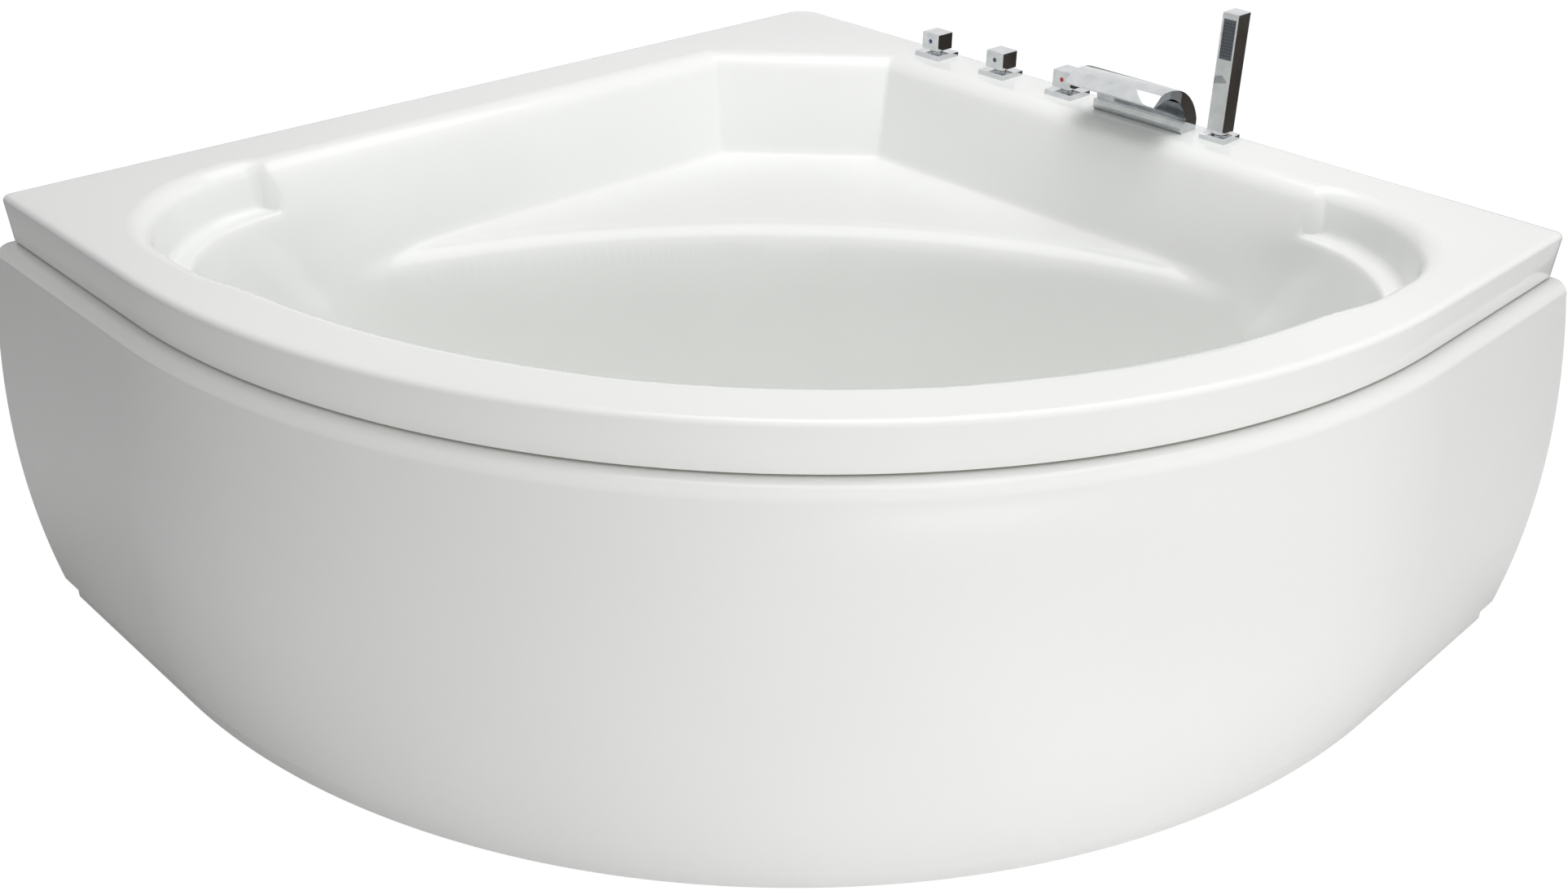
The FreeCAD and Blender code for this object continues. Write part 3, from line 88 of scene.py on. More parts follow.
# The seat. Its front edge is an arc about a centre on the plane of symmetry, and RISER_SQUARE is
# the share of a level distance that stands square to the leaning riser.
SEAT_TOP = DECK - 160.0
SEAT_FRONT = 642.0
SEAT_RADIUS = 1200.0
SEAT_CENTRE = SEAT_FRONT + SEAT_RADIUS
SEAT_EDGE = 34.0
SEAT_FILLET = 8.0
RISER_DRAFT = 78.0
RISER_SQUARE = 0.985

# The headrest recesses, each with a ledge that falls evenly to the front.
RECESS_START = 1101.0
RECESS_SPREAD = 15.0
RECESS_WALL_LEAN = 0.06
RECESS_CORNER = 5.0
RECESS_EDGE = 5.0
LEDGE_START = DECK - 68.0
LEDGE_FALL = 48.0
LEDGE_FILLET = 12.0

# Directions seen from the front arc's centre, in degrees past the wall's direction.
LEDGE_START_ANGLE = -15.7
SPREAD_TAPER_ANGLE = 1.0
SPREAD_END_ANGLE = 8.0
RECESS_END_ANGLE = 8.5

# The shallow panel pressed into the wall below each recess, between a near and a far line. Each
# line has a place along the wall at one height, and leans along it for each millimetre of height.
PRESS_DEPTH = 8.0
PRESS_NEAR_PLACE = 945.0
PRESS_NEAR_HEIGHT = 566.0
PRESS_NEAR_LEAN = 0.565
PRESS_FAR_PLACE = 1105.0
PRESS_FAR_HEIGHT = 514.0
PRESS_FAR_LEAN = 0.397
PRESS_FADE = 50.0
PRESS_LOW_START = 372.0
PRESS_LOW_FADE = 60.0
PRESS_HIGH_START = 480.0
PRESS_HIGH_LOSS = 0.8

# The front panel's section, with distances proud of the rim's front.
PANEL_BULGE = 51.0
PANEL_TOP = LIP_BOTTOM - 2.0
PANEL_TOP_PROUD = 21.0
PANEL_FOOT_PROUD = 30.3
PANEL_FLANGE_END = -14.0
PANEL_WALL = 5.0
SHOULDER = 20.0
SHOULDER_START_ANGLE = 8.0
INNER_SHOULDER_ANGLES = (82.0, 10.0)
PLINTH_FOOT = 1.5
PLINTH_TOP = 38.0
PLINTH_PROUD = 18.0
PLINTH_EASE = 1.0
GROOVE_DEPTH = 1.6
GROOVE_START, GROOVE_BOTTOM, GROOVE_END = 5.0, 2.6, 0.6
STEP_EASE, STEP_EASE_HEIGHT = 1.4, 1.2
INNER_FACE_START = 8.0
INNER_STEP = 4.0

# The frame's origin is half way between the back corner's round and the panel's front.
FRONT_DEPTH = ARC_CENTRE_DEPTH + FRONT_RADIUS + PANEL_BULGE
FRAME_SHIFT = (FRONT_DEPTH + BACK_ROUND * (DIAGONAL - 1.0)) / 2.0

# The fittings on the right wall side, and the holes for them, the waste and the overflow.
TAP_LINE = 37.0
TAP_PLACES = (350.0, 486.0, 620.0)
SPOUT_MIDDLE = 769.0
SPOUT_LINE = 44.0
SHOWER_LINE = 33.0
SHOWER_PLACE = 895.0
TAP_HOLE = 11.0
SHOWER_HOLE = 14.0
WASTE_HOLE = 26.0
WASTE_SETBACK = 66.0
OVERFLOW_HOLE = 22.0
OVERFLOW_DROP = 82.0
HOLE_LENGTH = 36.0
HOLE_SIDES = 48

# The spout's hood. Its back stands out from the wall, and its other places are distances from the
# back and heights above the deck.
HOOD_BACK = 24.0
HOOD_FOOT = 17.0
HOOD_OUTER_END = (103.0, 70.0)
HOOD_OUTER_RADIUS = 85.0
HOOD_OUTER_POINTS = 26
HOOD_INNER_START = 31.0
HOOD_INNER_END = (88.0, 62.0)
HOOD_INNER_RADIUS = 57.0
HOOD_INNER_POINTS = 20
HOOD_LIP = ((116.5, 58.6), (118.0, 57.4), (118.0, 55.4), (117.0, 55.0))
HOOD_HALF = 79.0
HOOD_EASE = 0.8
HOOD_EASE_START = 0.25
HOOD_EASE_SHARE = 0.35

# Edges that turn by more than this many degrees are drawn sharp.
SHARP_ANGLE = 32.0
SECTION_SHARP_ANGLE = 28.0


def row_points(u, v, z):
    """Turn distances along the left wall, u, and the right wall, v, into metres in the row frame."""
    x = (v - u) / DIAGONAL
    y = FRAME_SHIFT - (u + v) / DIAGONAL
    return np.stack(np.broadcast_arrays(x, y, z), axis=-1) * MM


# ---- mesh helpers -------------------------------------------------------------------------

def make_piece(name, points, faces, sharp_angle=SHARP_ANGLE):
    """Build a mesh object from arrays of points and faces, smooth but for its sharp edges."""
    mesh = bpy.data.meshes.new(name)
    mesh.from_pydata(np.reshape(points, (-1, 3)), [], faces)
    mesh.update()
    mesh.shade_smooth()
    mesh.set_sharp_from_angle(angle=math.radians(sharp_angle))
    piece = bpy.data.objects.new(name, mesh)
    bpy.context.scene.collection.objects.link(piece)
    return piece


def ring_faces(rows, columns):
    """Quads between neighbouring closed rings, as an array of point numbers. The points are rows of
    one ring each, with as many points as there are columns."""
    row = np.arange(rows - 1)[:, None]
    column = np.arange(columns)[None, :]
    next_column = (column + 1) % columns
    quads = np.stack([
        row * columns + column,
        row * columns + next_column,
        (row + 1) * columns + next_column,
        (row + 1) * columns + column,
    ], axis=-1)
    return quads.reshape(-1, 4)


def fan_faces(centre, ring, flip=False):
    """Triangles from one centre point to a closed ring of point numbers."""
    following = np.roll(ring, -1)
    if flip:
        ring, following = following, ring
    return np.stack([np.full(len(ring), centre), ring, following], axis=-1)


def signed_volume(points, quads):
    """Six times the enclosed volume: the sum of the triple products of each quad's two triangles."""
    corner = points[quads]
    first = np.einsum("ij,ij->i", corner[:, 0], np.cross(corner[:, 1], corner[:, 2]))
    second = np.einsum("ij,ij->i", corner[:, 0], np.cross(corner[:, 2], corner[:, 3]))
    return first.sum() + second.sum()


def sweep_faces(points, rows, columns):
    """Faces of a closed section carried along a path: quads between its rings and a flat cap at each
    end, all turned outwards."""
    quads = ring_faces(rows, columns)
    first_cap = np.arange(columns)
    last_cap = first_cap + (rows - 1) * columns
    if signed_volume(points, quads) < 0.0:
        return quads[:, ::-1].tolist() + [first_cap.tolist(), last_cap[::-1].tolist()]
    return quads.tolist() + [first_cap[::-1].tolist(), last_cap.tolist()]


# ---- tub shell ----------------------------------------------------------------------------

def rounded_max(a, b, radius):
    """Where two half-spaces meet: the larger distance, with a round edge of the given radius."""
    round_part = np.hypot(np.maximum(radius + a, 0.0), np.maximum(radius + b, 0.0))
    return np.minimum(-radius, np.maximum(a, b)) + round_part


def rounded_min(a, b, radius):
    """Where two masses join: the smaller distance, with a round fillet of the given radius."""
    return -rounded_max(-a, -b, radius)


def smooth_step(value):
    """Zero below 0, one above 1 and an S-curve between them."""
    value = np.clip(value, 0.0, 1.0)
    return value * value * (3.0 - 2.0 * value)


# Columns of the shell's grid in one half, by stretch of the opening's outline.
FACET_COLUMNS = 5
FACET_TURN_COLUMNS = 7
BACK_COLUMNS = FACET_COLUMNS + FACET_TURN_COLUMNS
WALL_COLUMNS = 58
START_COLUMNS = 26
END_COLUMNS = 36
RETURN_COLUMNS = 4
FRONT_COLUMNS = 48

facet_share = np.linspace(0.0, 1.0, FACET_COLUMNS, endpoint=False)
facet_turn = np.radians(np.linspace(FACET_ANGLE, 0.0, FACET_TURN_COLUMNS, endpoint=False))
wall_share = np.linspace(0.0, 1.0, WALL_COLUMNS, endpoint=False)
start_share = np.linspace(0.0, 1.0, START_COLUMNS, endpoint=False)
end_turn = np.radians(np.linspace(0.0, 90.0, END_COLUMNS, endpoint=False))
return_share = np.linspace(0.0, 1.0, RETURN_COLUMNS, endpoint=False)
front_turn = np.radians(np.linspace(0.0, 45.0, FRONT_COLUMNS + 1))

# Near a recess's slanted start the columns lean with it, from this place along the wall on. The
# lean grows and fades over these shares of the stretch, and stays between two limits.
START_ZONE = 1035.0
LEAN_GROWTH = 0.35
LEAN_FADE = 0.3
LEAN_LEAST = -RECESS_SPREAD - 2.0
LEAN_MOST = 20.0
start_lean = np.clip(np.minimum(start_share / LEAN_GROWTH, (1.0 - start_share) / LEAN_FADE), 0.0, 1.0)

column_draft = np.concatenate([
    np.full(BACK_COLUMNS + WALL_COLUMNS + START_COLUMNS, SIDE_DRAFT),
    SIDE_DRAFT + (FRONT_DRAFT - SIDE_DRAFT) * np.sin(end_turn),
    np.full(RETURN_COLUMNS + FRONT_COLUMNS + 1, FRONT_DRAFT),
])

# The grid's rows shrink to a pole on the floor, on the plane of symmetry. None lies nearer to it
# than this share of the way from the wall's foot, because the floor is flat there.
POLE_DEPTH = 850.0
POLE = POLE_DEPTH / DIAGONAL
NEAREST_ROW = 0.85
INNER_ROWS = 92

# Rows on the wall, by how far they lie inside the opening's outline at a wall side: stretches of a
# start, an end and a count, closest together at the recess. Beyond them the deck's rows count as
# levels further and further outside the opening.
LAST_WALL_ROW = -42.0
WALL_ROWS = ((SIDE_DRAFT, 20.0, 34), (20.0, -8.0, 18), (-8.0, -17.0, 16), (-17.0, LAST_WALL_ROW, 12))
DECK_ROWS = 6
DECK_LEVEL = -0.6

# Rows over the rim, by their turn in degrees round the deck's outer edge and round the lip's end.
EDGE_TURNS = (20.0, 40.0, 60.0, 78.0, 90.0)
LIP_TURNS = (45.0, 90.0)
INSIDE_RIM_ROWS = 2

# Heights between which every point of the shell's upper and under side lies.
LOWEST = 90.0
HIGHEST = 640.0
HALVINGS = 30


def opening_half(level):
    """Half of the basin's outline at one level, 0 at the deck and 1 at the floor: a facet across
    the back corner, a small turn, the wall, the round end, a short return and the front arc."""
    wall = DECK_WIDTH + SIDE_DRAFT * level
    radius = BASIN_RADIUS - FRONT_DRAFT * level
    far = END_RETURN + radius
    bend = BASIN_END_ROUND - SIDE_DRAFT * level
    near = FACET_REACH + SIDE_DRAFT * level * (DIAGONAL - 1.0)
    cut_back = FACET_ROUND * math.tan(math.radians(FACET_ANGLE / 2.0))
    slant = cut_back / DIAGONAL
    middle = (wall + near) / 2.0
    lean = min(max(SIDE_DRAFT * level, LEAN_LEAST), LEAN_MOST)
    along = np.concatenate([
        middle + (near - slant - middle) * facet_share,
        near + cut_back - FACET_ROUND * np.sin(facet_turn),
        near + cut_back + (START_ZONE - near - cut_back) * wall_share,
        START_ZONE + (far - bend - START_ZONE) * start_share - start_lean * lean,
        far - bend + bend * np.sin(end_turn),
        np.full(RETURN_COLUMNS, far),
        END_RETURN + radius * np.cos(front_turn),
    ])
    out = np.concatenate([
        middle + (wall + slant - middle) * facet_share,
        wall + FACET_ROUND * (1.0 - np.cos(facet_turn)),
        np.full(WALL_COLUMNS + START_COLUMNS, wall),
        wall + bend - bend * np.cos(end_turn),
        wall + bend + (END_RETURN - wall - bend) * return_share,
        END_RETURN + radius * np.sin(front_turn),
    ])
    return along, out


def rim_half(inset, front_inset):
    """Half of the rim's outer outline, drawn in by the insets: the back corner's small round, the
    straight wall side, the end corner's small round, the straight return and the front arc. Its
    columns stand beside the opening's."""
    side = WALL_SIDE - front_inset
    radius = FRONT_RADIUS - front_inset
    opening_along, _ = opening_half(0.0)

    # The back corner: three tenths round, seven tenths straight.
    round_share = 0.3
    back = BACK_ROUND - inset
    share = np.linspace(0.0, 1.0, BACK_COLUMNS, endpoint=False)
    turn = np.radians(45.0 * (1.0 - np.minimum(share / round_share, 1.0)))
    straight = np.maximum(share - round_share, 0.0) / (1.0 - round_share)
    back_end = opening_along[BACK_COLUMNS]
    back_along = BACK_ROUND - back * np.sin(turn) + (back_end - BACK_ROUND) * straight
    back_out = BACK_ROUND - back * np.cos(turn)
    wall_stop = BACK_COLUMNS + WALL_COLUMNS + START_COLUMNS
    wall_along = opening_along[BACK_COLUMNS:wall_stop]
    wall_end = opening_along[wall_stop]

    # The end corner: four tenths straight, two tenths round, four tenths straight.
    round_start, round_end = 0.4, 0.6
    share = np.linspace(0.0, 1.0, END_COLUMNS, endpoint=False)
    bend = END_ROUND - inset
    first = np.clip(share / round_start, 0.0, 1.0)
    quarter = np.radians(90.0 * np.clip((share - round_start) / (round_end - round_start), 0.0, 1.0))
    last = np.clip((share - round_end) / (1.0 - round_end), 0.0, 1.0)
    return_start = DECK_WIDTH + BASIN_END_ROUND
    end_along = wall_end + (side - bend - wall_end) * first + bend * np.sin(quarter)
    end_out = inset + bend * (1.0 - np.cos(quarter)) + (return_start - inset - bend) * last
    along = np.concatenate([
        back_along, wall_along, end_along, np.full(RETURN_COLUMNS, side),
        END_RETURN + radius * np.cos(front_turn),
    ])
    out = np.concatenate([
        back_out, np.full(WALL_COLUMNS + START_COLUMNS, inset), end_out,
        return_start + (END_RETURN - return_start) * return_share,
        END_RETURN + radius * np.sin(front_turn),
    ])
    return along, out


def headrest_press(along, z):
    """Shallow three-sided panel in the wall below each recess: a ramp between two lines that meet
    low down, deepest at the far line, which fades out beyond it and towards the recess."""
    near_line = PRESS_NEAR_PLACE + PRESS_NEAR_LEAN * (PRESS_NEAR_HEIGHT - z)
    far_line = PRESS_FAR_PLACE - PRESS_FAR_LEAN * (PRESS_FAR_HEIGHT - z)
    ramp = np.clip((along - near_line) / np.maximum(far_line - near_line, 1.0), 0.0, 1.0)
    beyond = smooth_step((along - far_line) / PRESS_FADE)
    low_fade = smooth_step((z - PRESS_LOW_START) / PRESS_LOW_FADE)
    high_fade = 1.0 - PRESS_HIGH_LOSS * smooth_step((z - PRESS_HIGH_START) / PRESS_FADE)
    return PRESS_DEPTH * ramp * (1.0 - beyond) * low_fade * high_fade


def recess_space(along, out, level_distance, z):
    """Headrest recess: positive in the space above the ledge, which falls evenly to the front,
    inside the opening's outline spread by a few millimetres, past the slanted start and before
    the slanted front end."""
    angle = np.degrees(np.arctan2(out - END_RETURN, along - END_RETURN))
    taper = smooth_step((angle - SPREAD_TAPER_ANGLE) / (SPREAD_END_ANGLE - SPREAD_TAPER_ANGLE))
    share = np.clip((angle - LEDGE_START_ANGLE) / (RECESS_END_ANGLE - LEDGE_START_ANGLE), 0.0, 1.0)
    ledge = z - LEDGE_START + LEDGE_FALL * share
    wall = level_distance + RECESS_SPREAD * (1.0 - taper) - RECESS_WALL_LEAN * (DECK - z)
    start = (along - RECESS_START + level_distance) / DIAGONAL
    finish = (RECESS_END_ANGLE - angle) * math.radians(1.0) * BASIN_RADIUS + level_distance
    space = rounded_min(ledge, wall, LEDGE_FILLET)
    space = rounded_min(space, start, RECESS_CORNER)
    return rounded_min(space, finish / DIAGONAL, RECESS_CORNER)


def shell_field(along, out, level, draft, z):
    """Distance from the shell's upper surface, negative in the material: deck and drafted wall with
    a round edge, less the recess, joined to the seat and to the floor by fillets."""
    lean = np.cos(np.arctan2(draft, DEEP))
    depth_level = (DECK - z) / DEEP
    wall = (level - depth_level) * draft * lean + headrest_press(along, z)
    recess = recess_space(along, out, level * draft, z)
    wall = rounded_max(wall, recess, RECESS_EDGE)
    mass = rounded_max(z - DECK, wall, DECK_EDGE)
    across = (along - out) / DIAGONAL
    depth = (along + out) / DIAGONAL
    from_centre = np.hypot(across, SEAT_CENTRE - depth)
    riser_radius = SEAT_RADIUS - RISER_DRAFT * (SEAT_TOP - z) / SEAT_TOP
    seat = rounded_max(z - SEAT_TOP, (riser_radius - from_centre) * RISER_SQUARE, SEAT_EDGE)
    mass = rounded_min(mass, seat, SEAT_FILLET)
    return rounded_min(mass, z - FLOOR, FLOOR_FILLET)


def surface_height(along, out, level, draft, offset):
    """Height where the shell's field equals the offset, found by halving an interval many times."""
    low = np.full(np.shape(along), LOWEST)
    high = np.full(np.shape(along), HIGHEST)
    for _ in range(HALVINGS):
        middle = (low + high) / 2.0
        above = shell_field(along, out, level, draft, middle) > offset
        high = np.where(above, middle, high)
        low = np.where(above, low, middle)
    return (low + high) / 2.0


def inner_distance(along, out):
    """Distance inside the floor's outline: the least of those from the wall, from the front arc and
    from the facet, with round corners between them."""
    from_wall = out - DECK_WIDTH - SIDE_DRAFT
    end_reach = np.hypot(along - END_RETURN, np.maximum(out - END_RETURN, 0.0))
    from_front = BASIN_RADIUS - FRONT_DRAFT - end_reach
    inside = rounded_min(from_wall, from_front, BASIN_END_ROUND - SIDE_DRAFT)
    facet = (FACET_REACH + DECK_WIDTH + SIDE_DRAFT * DIAGONAL) / DIAGONAL
    return rounded_min(inside, (along + out) / DIAGONAL - facet, FACET_ROUND)


def plan_rows(step):
    """Plan positions of the grid's rows from round the pole out to the rim's rounded edge, with each
    point's level. A larger step keeps fewer rows, for the hidden underside."""
    floor_along, floor_out = opening_half(1.0)
    alongs, outs, levels = [], [], []
    shares = np.linspace(1.0, 0.0, INNER_ROWS // step, endpoint=False)
    for share in shares[shares < NEAREST_ROW]:
        along = floor_along + (POLE - floor_along) * share
        out = floor_out + (POLE - floor_out) * share
        alongs.append(along)
        outs.append(out)
        levels.append(1.0 + np.maximum(inner_distance(along, out), 0.0) / column_draft)
    for start, end, count in WALL_ROWS:
        for place in np.linspace(start, end, count, endpoint=end == LAST_WALL_ROW)[::step]:
            along, out = opening_half(place / SIDE_DRAFT)
            alongs.append(along)
            outs.append(out)
            levels.append(np.full(len(along), place / SIDE_DRAFT))
    deck_along, deck_out = alongs[-1], outs[-1]
    edge_along, edge_out = rim_half(RIM_EDGE, RIM_EDGE)
    for share in np.linspace(0.0, 1.0, DECK_ROWS + 1)[1:]:
        alongs.append(deck_along + (edge_along - deck_along) * share)
        outs.append(deck_out + (edge_out - deck_out) * share)
        levels.append(np.full(len(deck_along), DECK_LEVEL - share))
    return np.array(alongs), np.array(outs), np.array(levels)


def rim_rows():
    """Plan positions and heights of the rows over the rim: round the deck's outer edge, down the
    drafted lip, round its end and up its inside."""
    edge_turn = np.radians(EDGE_TURNS)
    lip_turn = np.radians(LIP_TURNS)
    edge = RIM_EDGE * (1.0 - np.sin(edge_turn))
    lip = LIP_ROUND * (1.0 - np.cos(lip_turn))
    insets = np.concatenate([edge, [0.0], lip, [SHELL, SHELL]])
    drafts = np.concatenate([np.zeros(len(edge)), np.full(len(lip) + 2, LIP_DRAFT), [0.0]])
    heights = np.concatenate([
        DECK - RIM_EDGE * (1.0 - np.cos(edge_turn)),
        [LIP_BOTTOM + LIP_ROUND],
        LIP_BOTTOM + LIP_ROUND * (1.0 - np.sin(lip_turn)),
        [LIP_BOTTOM, DECK - SHELL],
    ])
    halves = np.array([rim_half(inset, inset + draft) for inset, draft in zip(insets, drafts)])
    along, out = halves[:, 0], halves[:, 1]
    return along, out, np.broadcast_to(heights[:, None], along.shape)


def full_round(half, mirrored):
    """One half outline's values, carried on round the other half by the mirrored values."""
    return np.concatenate([half, mirrored[:, -2:0:-1]], axis=1)


def tub_surface():
    """The shell as one closed grid: rows run from a pole on the floor up the basin, over the deck
    and down the lip, then back along the underside to a second pole. Returns the points, the faces
    and which of the faces are on the hidden side."""
    top_along, top_out, top_level = plan_rows(1)
    top_height = surface_height(top_along, top_out, top_level, column_draft, 0.0)
    rim_along, rim_out, rim_height = rim_rows()
    low_along, low_out, low_level = plan_rows(2)
    low_height = surface_height(low_along, low_out, low_level, column_draft, -SHELL)
    low_height[-DECK_ROWS:] = DECK - SHELL

    along = np.concatenate([top_along, rim_along, low_along[::-1]])
    out = np.concatenate([top_out, rim_out, low_out[::-1]])
    height = np.concatenate([top_height, rim_height, low_height[::-1]])
    u = full_round(along, out)
    v = full_round(out, along)
    rows, columns = u.shape
    grid = row_points(u, v, full_round(height, height)).reshape(-1, 3)
    poles = row_points(POLE, POLE, np.array([FLOOR, FLOOR - SHELL]))
    points = np.concatenate([grid, poles])
    top_pole, low_pole = len(grid), len(grid) + 1

    quads = ring_faces(rows, columns)
    inward = signed_volume(points, quads) < 0.0
    if inward:
        quads = quads[:, ::-1]
    first_ring = np.arange(columns)
    last_ring = first_ring + (rows - 1) * columns
    top_fan = fan_faces(top_pole, first_ring, flip=inward)
    low_fan = fan_faces(low_pole, last_ring, flip=not inward)
    faces = quads.tolist() + top_fan.tolist() + low_fan.tolist()

    hidden_start = (rows - len(low_along) - INSIDE_RIM_ROWS) * columns
    first_corner = np.concatenate([quads[:, 0], top_fan[:, 0], low_fan[:, 0]])
    hidden = np.logical_and(first_corner >= hidden_start, first_corner != top_pole)
    return points, faces, hidden


def bored(piece, cutters):
    """Cut the fitting holes through a piece, apply the cuts and remove the cutters."""
    for cutter in cutters:
        modifier = piece.modifiers.new(cutter.name, "BOOLEAN")
        modifier.operation = "DIFFERENCE"
        modifier.solver = "EXACT"
        modifier.object = cutter
    depsgraph = bpy.context.evaluated_depsgraph_get()
    cut_mesh = bpy.data.meshes.new_from_object(piece.evaluated_get(depsgraph))
    piece.modifiers.clear()
    old_mesh = piece.data
    piece.data = cut_mesh
    bpy.data.meshes.remove(old_mesh)
    for cutter in cutters:
        mesh = cutter.data
        bpy.data.objects.remove(cutter)
        bpy.data.meshes.remove(mesh)


def hole_cutter(name, middle, axis, radius):
    """A prism about an axis: two rings of a circle and a centre point at each end."""
    axis = np.array(axis) / np.linalg.norm(axis)
    side = np.cross(axis, [1.0, 0.0, 0.0])
    side = side / np.linalg.norm(side)
    other = np.cross(axis, side)
    angle = np.linspace(0.0, 2.0 * math.pi, HOLE_SIDES, endpoint=False)[:, None]
    ring = (np.cos(angle) * side + np.sin(angle) * other) * radius * MM
    middle = np.array(middle)
    reach = axis * HOLE_LENGTH * MM / 2.0
    points = np.concatenate([ring + middle - reach, ring + middle + reach,
                             [middle - reach], [middle + reach]])
    first_ring = np.arange(HOLE_SIDES)
    faces = ring_faces(2, HOLE_SIDES).tolist()
    faces += fan_faces(2 * HOLE_SIDES, first_ring, flip=True).tolist()
    faces += fan_faces(2 * HOLE_SIDES + 1, first_ring + HOLE_SIDES).tolist()
    return make_piece(name, points, faces)


def tub_holes():
    """Cutters for the taps, the spout, the hand shower, the waste and the overflow."""
    upright = (0.0, 0.0, 1.0)
    deck_holes = [("tap_hole", TAP_LINE, place, TAP_HOLE) for place in TAP_PLACES]
    deck_holes.append(("spout_hole", SPOUT_LINE, SPOUT_MIDDLE, TAP_HOLE))
    deck_holes.append(("shower_hole", SHOWER_LINE, SHOWER_PLACE, SHOWER_HOLE))
    cutters = [hole_cutter(name, row_points(line, place, DECK), upright, radius)
               for name, line, place, radius in deck_holes]

    waste_depth = BASIN_FRONT - FRONT_DRAFT - WASTE_SETBACK
    waste = (0.0, (FRAME_SHIFT - waste_depth) * MM, FLOOR * MM)
    cutters.append(hole_cutter("waste_hole", waste, upright, WASTE_HOLE))

    lean = math.atan2(FRONT_DRAFT, DEEP)
    square = (0.0, math.cos(lean), math.sin(lean))
    overflow_depth = BASIN_FRONT - OVERFLOW_DROP * FRONT_DRAFT / DEEP
    overflow = (0.0, (FRAME_SHIFT - overflow_depth) * MM, (DECK - OVERFLOW_DROP) * MM)
    cutters.append(hole_cutter("overflow_hole", overflow, square, OVERFLOW_HOLE))
    return cutters


# ---- front panel --------------------------------------------------------------------------

# Points on the section's long arc and shoulder, outside and inside, and rings on the front arc.
FACE_POINTS = 44
SHOULDER_POINTS = 11
INNER_FACE_POINTS = 16
INNER_SHOULDER_POINTS = 6
PANEL_RINGS = 145


def panel_profile():
    """The panel's closed section as (distance proud of the rim, height): plinth, step, one long arc
    from the plinth to the shoulder, the round shoulder and the flange, then the inside face."""
    shoulder_foot = PANEL_TOP - SHOULDER
    top_fall = PANEL_BULGE - PANEL_TOP_PROUD
    foot_fall = PANEL_BULGE - PANEL_FOOT_PROUD
    belly = PLINTH_TOP + (shoulder_foot - PLINTH_TOP) / (math.sqrt(top_fall / foot_fall) + 1.0)
    radius = ((shoulder_foot - belly) ** 2 + top_fall ** 2) / (2.0 * top_fall)

    heights = np.linspace(PLINTH_TOP + STEP_EASE_HEIGHT, shoulder_foot, FACE_POINTS)
    proud = PANEL_BULGE - radius + np.sqrt(radius ** 2 - (heights - belly) ** 2)
    face = np.stack([proud, heights], 1)
    shoulder_middle = proud[-1] - SHOULDER
    turn = np.radians(np.linspace(SHOULDER_START_ANGLE, 90.0, SHOULDER_POINTS))
    shoulder = np.stack([shoulder_middle + SHOULDER * np.cos(turn),
                         shoulder_foot + SHOULDER * np.sin(turn)], 1)
    outer = np.concatenate([
        [[PLINTH_PROUD - PLINTH_EASE, PLINTH_FOOT],
         [PLINTH_PROUD, PLINTH_FOOT + PLINTH_EASE],
         [PLINTH_PROUD, PLINTH_TOP - GROOVE_START],
         [PLINTH_PROUD - GROOVE_DEPTH, PLINTH_TOP - GROOVE_BOTTOM],
         [PLINTH_PROUD - GROOVE_DEPTH, PLINTH_TOP - GROOVE_END],
         [proud[0] - STEP_EASE, PLINTH_TOP]],
        face,
        shoulder,
        [[PANEL_FLANGE_END, PANEL_TOP]],
    ])

    heights = np.linspace(shoulder_foot, PLINTH_TOP + INNER_FACE_START, INNER_FACE_POINTS)
    proud = PANEL_BULGE - radius - PANEL_WALL + np.sqrt(radius ** 2 - (heights - belly) ** 2)
    inner_face = np.stack([proud, heights], 1)
    turn = np.radians(np.linspace(*INNER_SHOULDER_ANGLES, INNER_SHOULDER_POINTS))
    inner_shoulder = np.stack([shoulder_middle + (SHOULDER - PANEL_WALL) * np.cos(turn),
                               shoulder_foot + (SHOULDER - PANEL_WALL) * np.sin(turn)], 1)
    inner = np.concatenate([
        [[PANEL_FLANGE_END, PANEL_TOP - PANEL_WALL],
         [shoulder_middle, PANEL_TOP - PANEL_WALL]],
        inner_shoulder,
        inner_face,
        [[PLINTH_PROUD - PANEL_WALL, PLINTH_TOP - INNER_STEP],
         [PLINTH_PROUD - PANEL_WALL, PLINTH_FOOT]],
    ])
    return np.concatenate([outer, inner])


def front_panel_surface():
    """The section carried along the front: a straight return at each end and the arc between them,
    always square to the path, with flat end caps."""
    section = panel_profile()
    turn = np.radians(np.concatenate([[0.0], np.linspace(0.0, 90.0, PANEL_RINGS), [90.0]]))
    last_return = np.zeros((len(turn), 1))
    last_return[-1] = END_RETURN
    first_return = last_return[::-1]
    radius = FRONT_RADIUS + section[:, 0]
    u = END_RETURN + np.outer(np.cos(turn), radius) - last_return
    v = END_RETURN + np.outer(np.sin(turn), radius) - first_return
    points = row_points(u, v, section[:, 1][None, :]).reshape(-1, 3)
    return points, sweep_faces(points, len(turn), len(section))


# ---- spout hood ---------------------------------------------------------------------------

def arc_points(start, end, radius, count):
    """Points on the arc of a radius through two points, bulging to the left of their chord."""
    start, end = np.array(start, float), np.array(end, float)
    chord = end - start
    half = np.linalg.norm(chord) / 2.0
    left = np.array([-chord[1], chord[0]]) / np.linalg.norm(chord)
    centre = (start + end) / 2.0 - left * math.sqrt(radius ** 2 - half ** 2)
    first = math.atan2(*(start - centre)[::-1])
    last = math.atan2(*(end - centre)[::-1])
    angle = np.linspace(first, last, count)
    return centre + radius * np.stack([np.cos(angle), np.sin(angle)], 1)


